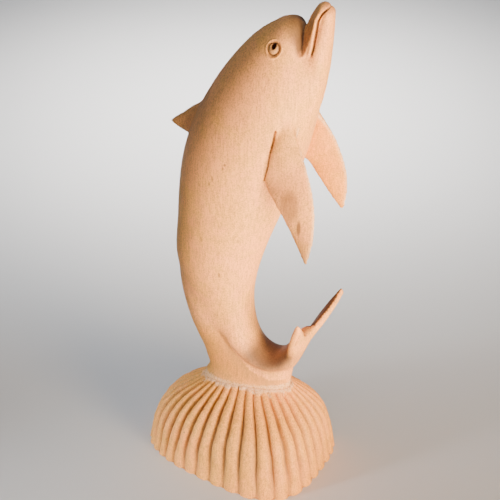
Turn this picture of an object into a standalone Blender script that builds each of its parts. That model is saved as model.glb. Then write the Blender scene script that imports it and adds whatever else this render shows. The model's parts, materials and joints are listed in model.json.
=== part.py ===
"""A wooden figurine: a dolphin leaping from a fluted base, carved from one block.

Run it with: blender --background --python part.py
Sizes are in metres, +Z is up, the dolphin's belly faces +X and its sides face -Y and +Y.
The carving is one solid. Its parts are lofted one by one, joined with Boolean unions,
then set with the middle of its plan on the origin and its underside at height 0.
"""

import math

import bmesh
import bpy
import numpy as np
from mathutils import Vector

# Driving sizes of the base.
BASE_HEIGHT = 0.0456  # table to the seam where the tail rises from the base
SEAM_RISE = 0.03  # the seam climbs this much per step toward the belly
SEAM_SAG = 0.0024  # and drops this much at its two ends
BASE_LENGTH = 0.0962  # long side of the block
BASE_WIDTH = 0.0696  # short side of the block, halfway along
BASE_TAPER = 0.26  # share by which the block is wider at the belly end than halfway
BASE_SQUARENESS = 3.0  # 2 is an ellipse, more is nearer the square block
BASE_TURN = math.radians(-6.4)  # the block's long side against the dolphin's middle plane
BASE_CENTRE = (-0.0062, -0.0015)  # from the middle of the tail, along X and Y
KNEE_RUN = 0.73  # share of the way out where the slope turns down into the wall
KNEE_HEIGHT = 0.645  # share of the height there
KNEE_SHARPNESS = 4.1
FOOT_TUCK = 0.04  # share of the overhang that the foot draws in again
FOOT_TUCK_HEIGHT = 0.0125
FLUTE_COUNT = 34
FLUTE_START = 0.37  # how far the first groove lies from the belly end, in flutes
FLUTE_CROWDING = 0.2  # how much narrower than the rest the flutes are at the block's ends
FLUTE_WIDEST = 0.84  # share of the way round where they are widest
SEAM_TWIST = -0.027  # share of the way round that they slip between foot and seam
FLUTE_DEPTH = 0.0021
FLUTE_FADE = 0.35  # share of that depth left at the seam
FLUTE_POINTS = 4  # mesh points across one flute
BASE_RINGS = 11  # mesh rings from seam to foot

# Driving size of the figure. Every measure below is in hundredths of this height.
DOLPHIN_HEIGHT = 0.2044  # top of the base to the tip of the snout
PERCENT = DOLPHIN_HEIGHT / 100

# Body stations from the flukes to the forehead: forward and up place the middle of a section,
# then half of its back-to-belly depth and half of its side-to-side width.
BODY = [
    (14.0, 14.4, 1.7, 4.2),
    (12.1, 10.1, 2.4, 4.7),
    (9.9, 6.5, 2.4, 5.0),
    (6.7, 5.6, 1.8, 5.3),
    (3.5, 6.0, 2.0, 5.6),
    (0.5, 8.4, 2.6, 5.7),
    (-2.3, 12.6, 4.0, 5.9),
    (-5.0, 18.1, 6.1, 6.2),
    (-7.4, 25.0, 8.8, 7.1),
    (-8.1, 32.2, 10.3, 8.2),
    (-6.7, 40.0, 11.1, 9.2),
    (-5.0, 47.9, 12.4, 10.3),
    (-2.9, 56.2, 13.4, 11.3),
    (-0.3, 64.4, 13.5, 11.6),
    (2.9, 72.2, 12.8, 11.1),
    (5.6, 79.0, 11.5, 10.1),
    (7.2, 84.5, 9.8, 8.9),
    (8.2, 88.5, 7.2, 7.5),
    (10.0, 91.5, 5.0, 5.4),
]
BODY_SIDES = 36
BODY_RINGS = 42

EYE_HEIGHT = 90.3  # of the body section that carries the eyes
EYE_TURN = math.radians(84)  # round the body from the back
EYE_SIZE = (2.0, 1.5, 0.5)  # half length along the head, half width, bulge
EYE_SIDES = 16
EYE_RINGS = 6

# The two jaws, root to tip, with the same four measures.
UPPER_JAW = [
    (11.0, 77.0, 3.0, 4.9),
    (12.8, 83.0, 2.8, 4.4),
    (14.0, 88.4, 2.2, 3.6),
    (15.1, 93.0, 1.8, 3.0),
    (16.3, 96.8, 1.6, 2.4),
    (17.2, 99.0, 1.2, 1.9),
]
LOWER_JAW = [
    (10.2, 69.0, 3.2, 4.4),
    (12.6, 75.0, 3.9, 5.2),
    (14.6, 81.6, 3.5, 4.7),
    (16.4, 89.0, 2.5, 3.6),
    (17.4, 94.0, 1.9, 2.8),
    (18.1, 98.0, 1.3, 2.1),
]
END_REACH = 0.82  # how far a loft's rounded end reaches, against its half depth
END_START = math.radians(30)  # where on its quarter turn the rounded end begins
END_RINGS = 4
JAW_SIDES = 16
JAW_RINGS = 11

# Blades are given by pairs of points on their two edges, each forward, side, up,
# and by their thickness between them, from root to tip.
FLIPPER = [
    ((12.6, 4.6, 75.0), (9.3, 5.2, 77.0), 2.2),
    ((13.6, 6.9, 70.0), (9.6, 8.1, 73.0), 2.3),
    ((15.7, 8.8, 66.4), (8.3, 9.8, 66.6), 2.3),
    ((17.5, 10.1, 62.4), (7.0, 9.6, 59.3), 2.1),
    ((19.0, 11.0, 57.4), (10.2, 11.6, 55.2), 1.9),
    ((19.7, 12.2, 52.6), (12.8, 12.0, 51.2), 1.6),
    ((19.6, 13.0, 47.9), (15.3, 12.7, 47.0), 1.3),
    ((19.0, 13.5, 44.4), (17.0, 13.4, 44.2), 0.8),
]
FLIPPER_TIP = (18.3, 14.0, 41.9)
FLUKE = [
    ((9.5, 0.0, 5.0), (14.6, 0.0, 14.6), 3.2),
    ((11.6, 3.0, 7.6), (15.4, 3.0, 16.4), 2.6),
    ((13.9, 6.0, 12.6), (16.8, 6.0, 19.4), 2.1),
    ((16.2, 8.6, 17.8), (18.0, 8.6, 21.6), 1.7),
    ((17.9, 10.2, 21.4), (18.8, 10.2, 23.0), 1.4),
]
FLUKE_TIP = (18.5, 10.7, 23.6)
# Each lobe leans to the back or the belly, drops by a share of that lean, and its section
# twists from root to tip, which lays its inner face open.
NEAR_FLUKE_SET = (math.radians(16), 0.1, 0.0)
FAR_FLUKE_SET = (math.radians(6), 0.45, math.radians(24))
BACK_FIN = [
    ((-8.0, 0.0, 75.5), (-8.0, 0.0, 61.5), 4.0),
    ((-12.0, 0.0, 72.2), (-12.0, 0.0, 63.0), 2.9),
    ((-16.0, 0.0, 68.8), (-15.6, 0.0, 63.8), 2.1),
    ((-18.4, 0.0, 67.0), (-17.8, 0.0, 64.9), 1.3),
]
BACK_FIN_TIP = (-19.5, 0.0, 65.9)
FLIPPER_EDGE = 1.25  # 1 is an oval section, more has keener edges, less blunter ones
FLUKE_EDGE = 0.6
FIN_EDGE = 1.1
BLADE_SIDES = 12
BLADE_RINGS = 14

# The web of wood that carries the tail: height, back end, belly end, half width.
WEB = [
    (-4.0, -11.6, 10.4, 5.2),
    (0.0, -11.3, 10.4, 5.4),
    (1.4, -10.5, 10.6, 4.9),
    (4.6, -11.2, 11.2, 4.6),
    (6.4, -11.7, 8.0, 4.5),
    (9.8, -13.1, 2.5, 4.6),
    (14.0, -14.8, -0.4, 5.0),
    (19.0, -16.1, -2.5, 5.8),
    (25.0, -17.4, -5.6, 5.2),
    (30.0, -18.1, -8.0, 4.0),
    (34.0, -17.8, -9.5, 2.8),
]
WEB_SIDES = 28
WEB_RINGS = 12

WOOD_COLOUR = (0.76, 0.52, 0.32, 1.0)
WOOD_ROUGHNESS = 0.55
CREASE_ANGLE = math.radians(35)  # an edge sharper than this is shaded as a crease

UP = Vector((0, 0, 1))


def clear_scene():
    for obj in list(bpy.data.objects):
        bpy.data.objects.remove(obj)


def smooth_through(rows, count, axes=2):
    """A smooth run of rows through the given rows, evenly spaced by the first few columns."""
    rows = np.array(rows, float)
    steps = np.linalg.norm(np.diff(rows[:, :axes], axis=0), axis=1)
    knots = np.concatenate([[0], np.cumsum(steps)])
    slopes = np.gradient(rows, knots, axis=0)
    at = np.linspace(0, knots[-1], count)
    i = np.clip(np.searchsorted(knots, at, side="right") - 1, 0, len(rows) - 2)
    h = (knots[i + 1] - knots[i])[:, None]
    t = (at[:, None] - knots[i][:, None]) / h
    return (
        (1 + 2 * t) * (1 - t) ** 2 * rows[i]
        + t * (1 - t) ** 2 * h * slopes[i]
        + t * t * (3 - 2 * t) * rows[i + 1]
        + t * t * (t - 1) * h * slopes[i + 1]
    )


def figure_point(forward, side, up):
    """A place in hundredths of the dolphin's height, counted from the top of the base."""
    return Vector((forward, side, up)) * PERCENT + UP * BASE_HEIGHT


def tube(name, rings, tips=(None, None)):
    """A closed solid through rings of points, with a flat cap or a single tip at each end."""
    bm = bmesh.new()
    loops = [[bm.verts.new(p) for p in ring] for ring in rings]
    for a, b in zip(loops, loops[1:]):
        for k in range(len(a)):
            n = (k + 1) % len(a)
            bm.faces.new((a[k], a[n], b[n], b[k]))
    for loop, tip in ((loops[0], tips[0]), (loops[-1], tips[1])):
        if tip is None:
            bm.faces.new(loop)
            continue
        point = bm.verts.new(tip)
        for k in range(len(loop)):
            bm.faces.new((loop[k], loop[(k + 1) % len(loop)], point))
    bmesh.ops.recalc_face_normals(bm, faces=bm.faces)
    mesh = bpy.data.meshes.new(name)
    bm.to_mesh(mesh)
    bm.free()
    obj = bpy.data.objects.new(name, mesh)
    bpy.context.scene.collection.objects.link(obj)
    return obj


def spine(stations, rings):
    """Evenly spaced sections along a loft, and the direction of its spine at each."""
    rows = smooth_through(stations, rings)
    tangents = np.gradient(rows[:, :2], axis=0)
    return rows, tangents / np.linalg.norm(tangents, axis=1)[:, None]


def spine_loft(name, stations, rings, sides):
    """Oval sections square to a spine in the figure's middle plane, closed by blunt tips."""
    rows, tangents = spine(stations, rings)
    sections = [(row, tangent, 1.0, 0.0) for row, tangent in zip(rows, tangents)]
    start = math.sin(END_START)
    for ring in range(1, END_RINGS + 1):
        turn = END_START + (math.pi / 2 - END_START) * ring / (END_RINGS + 1)
        shrink = math.cos(turn) / math.cos(END_START)
        reach = (math.sin(turn) - start) / (1 - start) * END_REACH
        sections.insert(0, (rows[0], tangents[0], shrink, -reach * rows[0][2]))
        sections.append((rows[-1], tangents[-1], shrink, reach * rows[-1][2]))
    loops = []
    for (x, z, depth, width), (tx, tz), shrink, ahead in sections:
        loop = []
        for k in range(sides):
            c = math.cos(math.tau * k / sides) * depth * shrink
            s = math.sin(math.tau * k / sides) * width * shrink
            loop.append(figure_point(x - tz * c + tx * ahead, s, z + tx * c + tz * ahead))
        loops.append(loop)
    ends = []
    for row, tangent, way in ((rows[0], tangents[0], -1), (rows[-1], tangents[-1], 1)):
        reach = row[2] * END_REACH * way
        ends.append(figure_point(row[0] + tangent[0] * reach, 0, row[1] + tangent[1] * reach))
    return tube(name, loops, ends)


def blade(name, rows, tip, edge, side=1, lean=0.0, drop=0.0, twist=0.0):
    """A thin lens between two edges. Side -1 makes the same blade on the other flank."""
    flat = [(*lead, *trail, thick) for lead, trail, thick in rows]
    runs = smooth_through(flat, BLADE_RINGS, 6)
    middles = (runs[:, :3] + runs[:, 3:6]) / 2
    x, y, z = (runs[:, 3:6] - runs[:, :3]).T / 2
    turns = np.linspace(0, twist, BLADE_RINGS)
    c, s = np.cos(turns), np.sin(turns)
    half = np.stack([x * c + z * s, y, z * c - x * s], 1)
    leads, trails = middles - half, middles + half
    spans = np.gradient(middles, axis=0)
    loops = []
    for lead, trail, span, thick in zip(leads, trails, spans, runs[:, 6]):
        across = np.cross(trail - lead, span)
        across /= np.linalg.norm(across)
        loop = []
        for k in range(BLADE_SIDES):
            angle = math.tau * k / BLADE_SIDES
            share = (1 - math.cos(angle)) / 2
            swell = math.copysign(abs(math.sin(angle)) ** edge, math.sin(angle))
            loop.append(lead + (trail - lead) * share + across * swell * thick / 2)
        loops.append(loop)
    tips = [middles[0], np.array(tip, float)]

    def place(p):
        shift = math.tan(lean) * p[1] * side
        return figure_point(p[0] + shift, p[1] * side, p[2] - shift * drop)

    return tube(name, [[place(p) for p in loop] for loop in loops], [place(p) for p in tips])


def make_web():
    loops = []
    for up, back, front, width in smooth_through(WEB, WEB_RINGS, 1):
        middle, reach = (back + front) / 2, (front - back) / 2
        loop = []
        for k in range(WEB_SIDES):
            angle = math.tau * k / WEB_SIDES
            place = figure_point(
                middle + reach * math.cos(angle), width * math.sin(angle), up
            )
            loop.append(place)
        loops.append(loop)
    return tube("web", loops)


def make_eye(name, side):
    """A low almond that swells from the side of the head."""
    rows, tangents = spine(BODY, 10 * BODY_RINGS)
    i = np.argmin(abs(rows[:, 1] - EYE_HEIGHT))
    (x, z, depth, width), (tx, tz) = rows[i], tangents[i]
    c, s = math.cos(EYE_TURN), math.sin(EYE_TURN) * side
    along = Vector((tx, 0, tz))
    back = Vector((-tz, 0, tx))
    across = Vector((0, 1, 0))
    middle = figure_point(x, 0, z) + (back * c * depth + across * s * width) * PERCENT
    outward = (back * c / depth + across * s / width).normalized()
    rings = []
    for j in range(1, EYE_RINGS):
        slant = math.pi * j / EYE_RINGS
        radius, lift = math.sin(slant), -math.cos(slant)
        ring = []
        for k in range(EYE_SIDES):
            a = math.tau * k / EYE_SIDES
            flat = along * math.cos(a) * EYE_SIZE[0]
            flat += outward.cross(along) * math.sin(a) * EYE_SIZE[1]
            ring.append(middle + (flat * radius + outward * lift * EYE_SIZE[2]) * PERCENT)
        rings.append(ring)
    bulge = outward * EYE_SIZE[2] * PERCENT
    return tube(name, rings, (middle - bulge, middle + bulge))


def evenly_round(x, y, shares):
    """Places along a closed line of points, at these shares of its length."""
    run = np.concatenate([[0], np.cumsum(np.hypot(np.diff(x), np.diff(y)))])
    at = shares % 1 * run[-1]
    return np.stack([np.interp(at, run, x), np.interp(at, run, y)], 1)


def base_lines():
    """Points round the foot of the block and the matching points round the seam above."""
    even = (np.arange(FLUTE_COUNT * FLUTE_POINTS) / FLUTE_POINTS + FLUTE_START) / FLUTE_COUNT
    slip = np.sin(4 * math.pi * (even - FLUTE_WIDEST)) / (4 * math.pi)
    shares = even + FLUTE_CROWDING * slip
    turns = np.linspace(0, math.tau, 20 * FLUTE_COUNT + 1)
    c, s = np.cos(turns), np.sin(turns)
    power = 2 / BASE_SQUARENESS
    x = np.sign(c) * np.abs(c) ** power * BASE_LENGTH / 2
    y = np.sign(s) * np.abs(s) ** power * BASE_WIDTH / 2
    y *= 1 + BASE_TAPER * x / (BASE_LENGTH / 2)
    ct, st = math.cos(BASE_TURN), math.sin(BASE_TURN)
    foot = evenly_round(x * ct - y * st, x * st + y * ct, shares) + np.array(BASE_CENTRE)
    back, front, half = (v * PERCENT for v in WEB[1][1:])
    x = (back + front) / 2 + (front - back) / 2 * c
    return foot, evenly_round(x, half * s, shares + SEAM_TWIST)


def base_profile():
    """Shares of the way out and of the height, evenly spaced down the slope and the wall."""
    share = np.linspace(0, 1, 50 * BASE_RINGS)
    slope = 1 - (1 - KNEE_HEIGHT) / KNEE_RUN * share
    wall = np.maximum(KNEE_HEIGHT * (1 - share) / (1 - KNEE_RUN), 1e-6)
    height = (slope ** -KNEE_SHARPNESS + wall ** -KNEE_SHARPNESS) ** (-1 / KNEE_SHARPNESS)
    height /= height[0]
    out = np.diff(share) * (BASE_WIDTH / 2 - WEB[1][3] * PERCENT)
    run = np.concatenate([[0], np.cumsum(np.hypot(out, np.diff(height) * BASE_HEIGHT))])
    at = np.linspace(0, run[-1], BASE_RINGS)
    return zip(np.interp(at, run, share), np.interp(at, run, height))


def make_base():
    """A domed block whose flutes run from the seam, over the knee, down to the table."""
    foot, seam = base_lines()
    outward = foot - seam
    length = np.linalg.norm(outward, axis=1)[:, None]
    outward /= length
    ends = 1 - (seam[:, 1] / (WEB[1][3] * PERCENT)) ** 2
    rise = seam[:, 0] * SEAM_RISE - SEAM_SAG * ends
    groove = 1 - np.sin(math.pi * (np.arange(len(foot)) % FLUTE_POINTS) / FLUTE_POINTS)
    loops = []
    for share, height in base_profile():
        tuck = FOOT_TUCK * max(0, 1 - height * BASE_HEIGHT / FOOT_TUCK_HEIGHT)
        cut = FLUTE_DEPTH * min(1, FLUTE_FADE + 2 * share) * groove
        places = seam + outward * (length * (share - tuck) - cut[:, None])
        drop = cut * (1 - share) * height
        heights = height * BASE_HEIGHT + rise * (1 - share) ** 2 - drop
        loops.append([Vector((x, y, z)) for (x, y), z in zip(places, heights)])
    return tube("base", loops)


def join(target, others):
    """Boolean union of the pieces, which then go: the carving is one solid."""
    for other in others:
        union = target.modifiers.new(other.name, "BOOLEAN")
        union.operation = "UNION"
        union.solver = "EXACT"
        union.object = other
    bpy.context.view_layer.update()
    graph = bpy.context.evaluated_depsgraph_get()
    mesh = bpy.data.meshes.new_from_object(target.evaluated_get(graph))
    target.modifiers.clear()
    target.data = mesh
    for other in others:
        bpy.data.objects.remove(other)
    return target


def set_on_origin(obj):
    """Middle of the plan on the origin, underside at height 0."""
    places = np.array([v.co for v in obj.data.vertices])
    low, high = places.min(0), places.max(0)
    shift = Vector((-(low[0] + high[0]) / 2, -(low[1] + high[1]) / 2, -low[2]))
    for v in obj.data.vertices:
        v.co += shift


def finish_wood(obj):
    """Pale bare wood with a soft shine, shaded smooth between its cut edges."""
    wood = bpy.data.materials.new("pale_wood")
    wood.use_nodes = True
    surface = wood.node_tree.nodes["Principled BSDF"]
    surface.inputs["Base Color"].default_value = WOOD_COLOUR
    surface.inputs["Roughness"].default_value = WOOD_ROUGHNESS
    surface.inputs["Metallic"].default_value = 0.0
    obj.data.materials.clear()
    obj.data.materials.append(wood)
    obj.data.shade_smooth()
    obj.data.set_sharp_from_angle(angle=CREASE_ANGLE)


def main():
    clear_scene()
    pieces = [
        make_web(),
        spine_loft("upper_jaw", UPPER_JAW, JAW_RINGS, JAW_SIDES),
        spine_loft("lower_jaw", LOWER_JAW, JAW_RINGS, JAW_SIDES),
        blade("near_flipper", FLIPPER, FLIPPER_TIP, FLIPPER_EDGE, -1),
        blade("far_flipper", FLIPPER, FLIPPER_TIP, FLIPPER_EDGE),
        blade("near_fluke", FLUKE, FLUKE_TIP, FLUKE_EDGE, -1, *NEAR_FLUKE_SET),
        blade("far_fluke", FLUKE, FLUKE_TIP, FLUKE_EDGE, 1, *FAR_FLUKE_SET),
        blade("back_fin", BACK_FIN, BACK_FIN_TIP, FIN_EDGE),
        make_eye("near_eye", -1),
        make_eye("far_eye", 1),
        make_base(),
    ]
    body = spine_loft("body", BODY, BODY_RINGS, BODY_SIDES)
    carving = join(body, pieces)
    carving.name = "dolphin_carving"
    set_on_origin(carving)
    finish_wood(carving)


main()
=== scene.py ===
# %% [markdown]
# # A wooden dolphin, carved from one block
# The real object is a figurine about a hand and a half tall. A carver cut it from one block of
# pale, fine-pored wood: a dolphin that leaps from a domed base with flutes cut all round it.
# This lesson builds it in the carver's order. The rough forms come first, then they are made one
# skin, the knife work is cut into that skin, the base gets its flutes, and the wood comes last.
# The frame is loaded before anything else, because its box is what the dressed model has to fill.

# %% Load the frame and keep its size
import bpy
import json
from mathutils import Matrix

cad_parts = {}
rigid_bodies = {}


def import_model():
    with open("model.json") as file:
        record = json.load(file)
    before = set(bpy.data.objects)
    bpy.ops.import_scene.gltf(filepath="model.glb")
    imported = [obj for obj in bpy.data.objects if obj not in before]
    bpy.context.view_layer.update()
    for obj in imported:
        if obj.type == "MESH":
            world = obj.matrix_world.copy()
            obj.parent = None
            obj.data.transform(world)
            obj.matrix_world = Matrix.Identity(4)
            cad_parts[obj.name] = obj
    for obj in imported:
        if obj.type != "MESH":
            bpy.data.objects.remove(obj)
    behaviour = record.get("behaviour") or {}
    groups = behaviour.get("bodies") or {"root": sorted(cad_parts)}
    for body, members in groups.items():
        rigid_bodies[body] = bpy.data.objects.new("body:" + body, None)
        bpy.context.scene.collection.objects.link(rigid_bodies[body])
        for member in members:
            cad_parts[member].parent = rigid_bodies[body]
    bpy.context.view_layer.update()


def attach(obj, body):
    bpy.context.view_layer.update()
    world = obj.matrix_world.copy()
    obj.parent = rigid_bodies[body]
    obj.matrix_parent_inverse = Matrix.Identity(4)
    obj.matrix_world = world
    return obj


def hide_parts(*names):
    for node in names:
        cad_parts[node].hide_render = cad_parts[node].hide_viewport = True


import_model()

import json
import math

import bmesh
import bpy
import numpy as np
from mathutils import Vector

NODE = "dolphin_carving"

# %% [markdown]
# ## The camera
# A carving is judged from where its picture was taken, so the camera comes first. The picture
# shows the dolphin's right flank, a little from the belly's side and from above. It was taken
# through a long lens, which keeps the edges of the base nearly parallel.

# %% Camera
VIEW_TURN = math.radians(20)  # from the dolphin's right flank toward its belly
VIEW_RISE = math.radians(30)  # above the horizon
TAIL_PLAN = (0.00568, 0.00368)  # where the tail stands, seen from above
VIEW_AIM = Vector((*TAIL_PLAN, 0.11766))
VIEW_DISTANCE = 0.80801
VIEW_LENS = 120.63  # mm on a sensor 36 mm wide


def direction(turn, rise):
    """The way from the carving to something that stands at this turn and rise."""
    flat = math.cos(rise)
    return Vector((math.sin(turn) * flat, -math.cos(turn) * flat, math.sin(rise)))


def put(name, data):
    """An object in the scene that shows this data."""
    obj = bpy.data.objects.new(name, data)
    bpy.context.scene.collection.objects.link(obj)
    return obj


camera = put("camera", bpy.data.cameras.new("camera"))
camera.data.lens = VIEW_LENS
camera.location = VIEW_AIM + direction(VIEW_TURN, VIEW_RISE) * VIEW_DISTANCE
camera.rotation_euler = direction(VIEW_TURN, VIEW_RISE).to_track_quat("Z", "Y").to_euler()
bpy.context.scene.camera = camera
print("camera at", [round(v, 3) for v in camera.location])

# %% [markdown]
# ## Measures
# The base has its own sizes in metres. The dolphin is a free form, so every measure on it is a
# share of its height: a point is written as forward, side, up in hundredths of that height,
# counted from the middle of the tail at the top of the base. The belly faces forward.

# %% Measures of the carving
BASE_HEIGHT = 0.0456
DOLPHIN_HEIGHT = 0.2044
PERCENT = DOLPHIN_HEIGHT / 100
TAIL_PLACE = np.array([*TAIL_PLAN, BASE_HEIGHT])  # the figure's own origin


def to_metres(figure):
    return np.asarray(figure, float) * PERCENT + TAIL_PLACE


def to_figure(metres):
    return (np.asarray(metres, float) - TAIL_PLACE) / PERCENT


print("one hundredth of the dolphin is", round(PERCENT * 1000, 2), "mm")

# %% [markdown]
# ## Curves through stations
# A boat builder draws a hull by a few stations and bends a thin batten through them. The same
# trick serves here: each form has a few rows of measures, and a smooth run of rows is passed
# through them. A little averaging takes out the last kinks that a batten would not have.

# %% Smooth runs through a few rows
def smooth_through(rows, count, axes=2, easing=0):
    """Rows evenly spaced by the distance in their first columns, on a curve through the rows."""
    rows = np.array(rows, float)
    steps = np.linalg.norm(np.diff(rows[:, :axes], axis=0), axis=1)
    knots = np.concatenate([[0], np.cumsum(steps)])
    slopes = np.gradient(rows, knots, axis=0)
    at = np.linspace(0, knots[-1], count)
    i = np.clip(np.searchsorted(knots, at, side="right") - 1, 0, len(rows) - 2)
    h = (knots[i + 1] - knots[i])[:, None]
    t = (at[:, None] - knots[i][:, None]) / h
    run = (
        (1 + 2 * t) * (1 - t) ** 2 * rows[i]
        + t * (1 - t) ** 2 * h * slopes[i]
        + t * t * (3 - 2 * t) * rows[i + 1]
        + t * t * (t - 1) * h * slopes[i + 1]
    )
    for _ in range(easing):
        run[1:-1] = (run[:-2] + 2 * run[1:-1] + run[2:]) / 4
    return run


def tube(rings, tips=(None, None)):
    """Points and faces of a closed skin over rings of points, each end flat or run to a tip."""
    sides = len(rings[0])
    points = [tuple(p) for ring in rings for p in ring]
    faces = []
    for r in range(len(rings) - 1):
        for k in range(sides):
            n = (k + 1) % sides
            a, b = r * sides, (r + 1) * sides
            faces.append((a + k, a + n, b + n, b + k))
    for first, tip in ((0, tips[0]), ((len(rings) - 1) * sides, tips[1])):
        loop = [first + k for k in range(sides)]
        if tip is None:
            faces.append(tuple(loop))
            continue
        points.append(tuple(tip))
        for k in range(sides):
            faces.append((loop[k], loop[(k + 1) % sides], len(points) - 1))
    return points, faces


def make_object(name, parts):
    """One object from several skins, with their faces turned outward."""
    points, faces = [], []
    for part_points, part_faces in parts:
        start = len(points)
        points += part_points
        faces += [tuple(start + i for i in face) for face in part_faces]
    mesh = bpy.data.meshes.new(name)
    mesh.from_pydata(points, [], faces)
    bm = bmesh.new()
    bm.from_mesh(mesh)
    bmesh.ops.recalc_face_normals(bm, faces=bm.faces)
    bm.to_mesh(mesh)
    bm.free()
    return put(name, mesh)


print("a run through 3 rows:", smooth_through([(0, 0), (1, 1), (2, 0)], 5)[:, 1].round(2).tolist())

# %% [markdown]
# ## The body and the two jaws
# The body is an oval that changes along a bent spine, from the flukes up to the forehead. Each
# station gives the middle of the oval, half its depth from back to belly and half its width. The
# jaws are two more runs of the same kind, set in front of the forehead, and a short third one
# joins their tips. A loft of ovals suits this better than a sculpted ball, because every measure
# stays a number that can be corrected.

# %% Body and jaws
BODY = [
    (14.0, 14.4, 1.7, 4.2),
    (12.1, 10.1, 2.4, 4.7),
    (9.9, 6.5, 2.4, 5.0),
    (6.7, 5.6, 1.8, 5.3),
    (3.5, 6.0, 2.0, 5.6),
    (0.5, 8.4, 2.6, 5.7),
    (-2.3, 12.6, 4.0, 5.9),
    (-5.0, 18.1, 6.1, 6.2),
    (-7.4, 25.0, 8.8, 7.1),
    (-8.1, 32.2, 10.3, 8.2),
    (-6.7, 40.0, 11.1, 9.2),
    (-5.0, 47.9, 12.4, 10.3),
    (-2.9, 56.2, 13.4, 11.3),
    (-0.3, 64.4, 13.5, 11.6),
    (2.9, 72.2, 12.8, 11.1),
    (5.6, 79.0, 11.5, 10.1),
    (7.2, 84.5, 9.8, 8.9),
    (8.2, 88.5, 7.2, 7.5),
    (10.0, 91.5, 5.0, 5.4),
]
UPPER_JAW = [
    (11.0, 77.0, 3.0, 4.9),
    (12.8, 83.0, 2.8, 4.4),
    (14.0, 88.4, 2.2, 3.6),
    (15.1, 93.0, 1.8, 3.0),
    (16.3, 96.8, 1.6, 2.4),
    (17.2, 99.0, 1.2, 1.9),
]
LOWER_JAW = [
    (10.2, 69.0, 3.2, 4.4),
    (12.6, 75.0, 3.9, 5.2),
    (14.6, 81.6, 3.5, 4.7),
    (16.4, 89.0, 2.5, 3.6),
    (17.4, 94.0, 1.9, 2.8),
    (18.1, 98.0, 1.3, 2.1),
]
SNOUT = [
    (16.4, 95.5, 1.6, 1.9),
    (17.0, 97.4, 1.5, 1.9),
    (17.6, 98.8, 1.3, 1.8),
]
END_REACH = 0.82  # how far a rounded end reaches, against its half depth
END_START = math.radians(30)  # where on its quarter turn the rounded end begins
END_RINGS = 9


def spine_loft(stations, rings, sides, easing=0):
    """Ovals square to a spine in the figure's middle plane, closed by rounded ends."""
    rows = smooth_through(stations, rings, easing=easing)
    ways = np.gradient(rows[:, :2], axis=0)
    ways /= np.linalg.norm(ways, axis=1)[:, None]
    turns = np.linspace(0, math.tau, sides, endpoint=False)
    start = math.sin(END_START)
    sections = [(row, way, 1.0, 0.0) for row, way in zip(rows, ways)]
    for ring in range(1, END_RINGS + 1):
        turn = END_START + (math.pi / 2 - END_START) * ring / (END_RINGS + 1)
        shrink = math.cos(turn) / math.cos(END_START)
        reach = (math.sin(turn) - start) / (1 - start) * END_REACH
        sections.insert(0, (rows[0], ways[0], shrink, -reach * rows[0][2]))
        sections.append((rows[-1], ways[-1], shrink, reach * rows[-1][2]))
    loops = []
    for (x, z, depth, width), (tx, tz), shrink, ahead in sections:
        across = np.cos(turns) * depth * shrink
        aside = np.sin(turns) * width * shrink
        loop = np.stack([x - tz * across + tx * ahead, aside, z + tx * across + tz * ahead], 1)
        loops.append(to_metres(loop))
    tips = []
    for row, way, sign in ((rows[0], ways[0], -1), (rows[-1], ways[-1], 1)):
        reach = row[2] * END_REACH * sign
        tips.append(to_metres((row[0] + way[0] * reach, 0, row[1] + way[1] * reach)))
    return tube(loops, tips)


rough_parts = [
    spine_loft(BODY, 200, 96, easing=60),
    spine_loft(UPPER_JAW, 60, 64, easing=20),
    spine_loft(LOWER_JAW, 60, 64, easing=20),
    spine_loft(SNOUT, 30, 48, easing=5),
]
print("body and jaws:", sum(len(faces) for points, faces in rough_parts), "faces")

# %% [markdown]
# ## Flippers, flukes and back fin
# These are blades: thin, with two edges and a lens-shaped section. A blade is given by pairs of
# points on its front and rear edge and by its thickness between them. The two tail lobes are the
# same blade on either flank, but the carver leaned one inward and twisted the other open, so
# each has a small set of its own.

# %% Blades
FLIPPER = [
    ((12.6, 4.6, 75.0), (9.3, 5.2, 77.0), 2.2),
    ((13.6, 6.9, 70.0), (9.6, 8.1, 73.0), 2.3),
    ((15.7, 8.8, 66.4), (8.3, 9.8, 66.6), 2.3),
    ((17.5, 10.1, 62.4), (7.0, 9.6, 59.3), 2.1),
    ((19.0, 11.0, 57.4), (10.2, 11.6, 55.2), 1.9),
    ((19.7, 12.2, 52.6), (12.8, 12.0, 51.2), 1.6),
    ((19.6, 13.0, 47.9), (15.3, 12.7, 47.0), 1.3),
    ((19.0, 13.5, 44.4), (17.0, 13.4, 44.2), 0.8),
]
FLIPPER_TIP = (18.3, 14.0, 41.9)
FLUKE = [
    ((9.5, 0.0, 5.0), (14.6, 0.0, 14.6), 3.2),
    ((11.6, 3.0, 7.6), (15.4, 3.0, 16.4), 2.6),
    ((13.9, 6.0, 12.6), (16.8, 6.0, 19.4), 2.1),
    ((16.2, 8.6, 17.8), (18.0, 8.6, 21.6), 1.7),
    ((17.9, 10.2, 21.4), (18.8, 10.2, 23.0), 1.4),
]
FLUKE_TIP = (18.5, 10.7, 23.6)
# Each lobe's lean, its drop as a share of that lean, and the twist of its section at the tip.
NEAR_FLUKE_SET = (math.radians(16), 0.1, 0.0)
FAR_FLUKE_SET = (math.radians(6), 0.45, math.radians(24))
BACK_FIN = [
    ((-8.0, 0.0, 75.5), (-8.0, 0.0, 61.5), 4.0),
    ((-12.0, 0.0, 72.2), (-12.0, 0.0, 63.0), 2.9),
    ((-16.0, 0.0, 68.8), (-15.6, 0.0, 63.8), 2.1),
    ((-18.4, 0.0, 67.0), (-17.8, 0.0, 64.9), 1.3),
]
BACK_FIN_TIP = (-19.5, 0.0, 65.9)
# 1 is an oval section, more has keener edges, less has blunter ones.
FLIPPER_EDGE, FLUKE_EDGE, FIN_EDGE = 1.25, 0.6, 1.1


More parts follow.
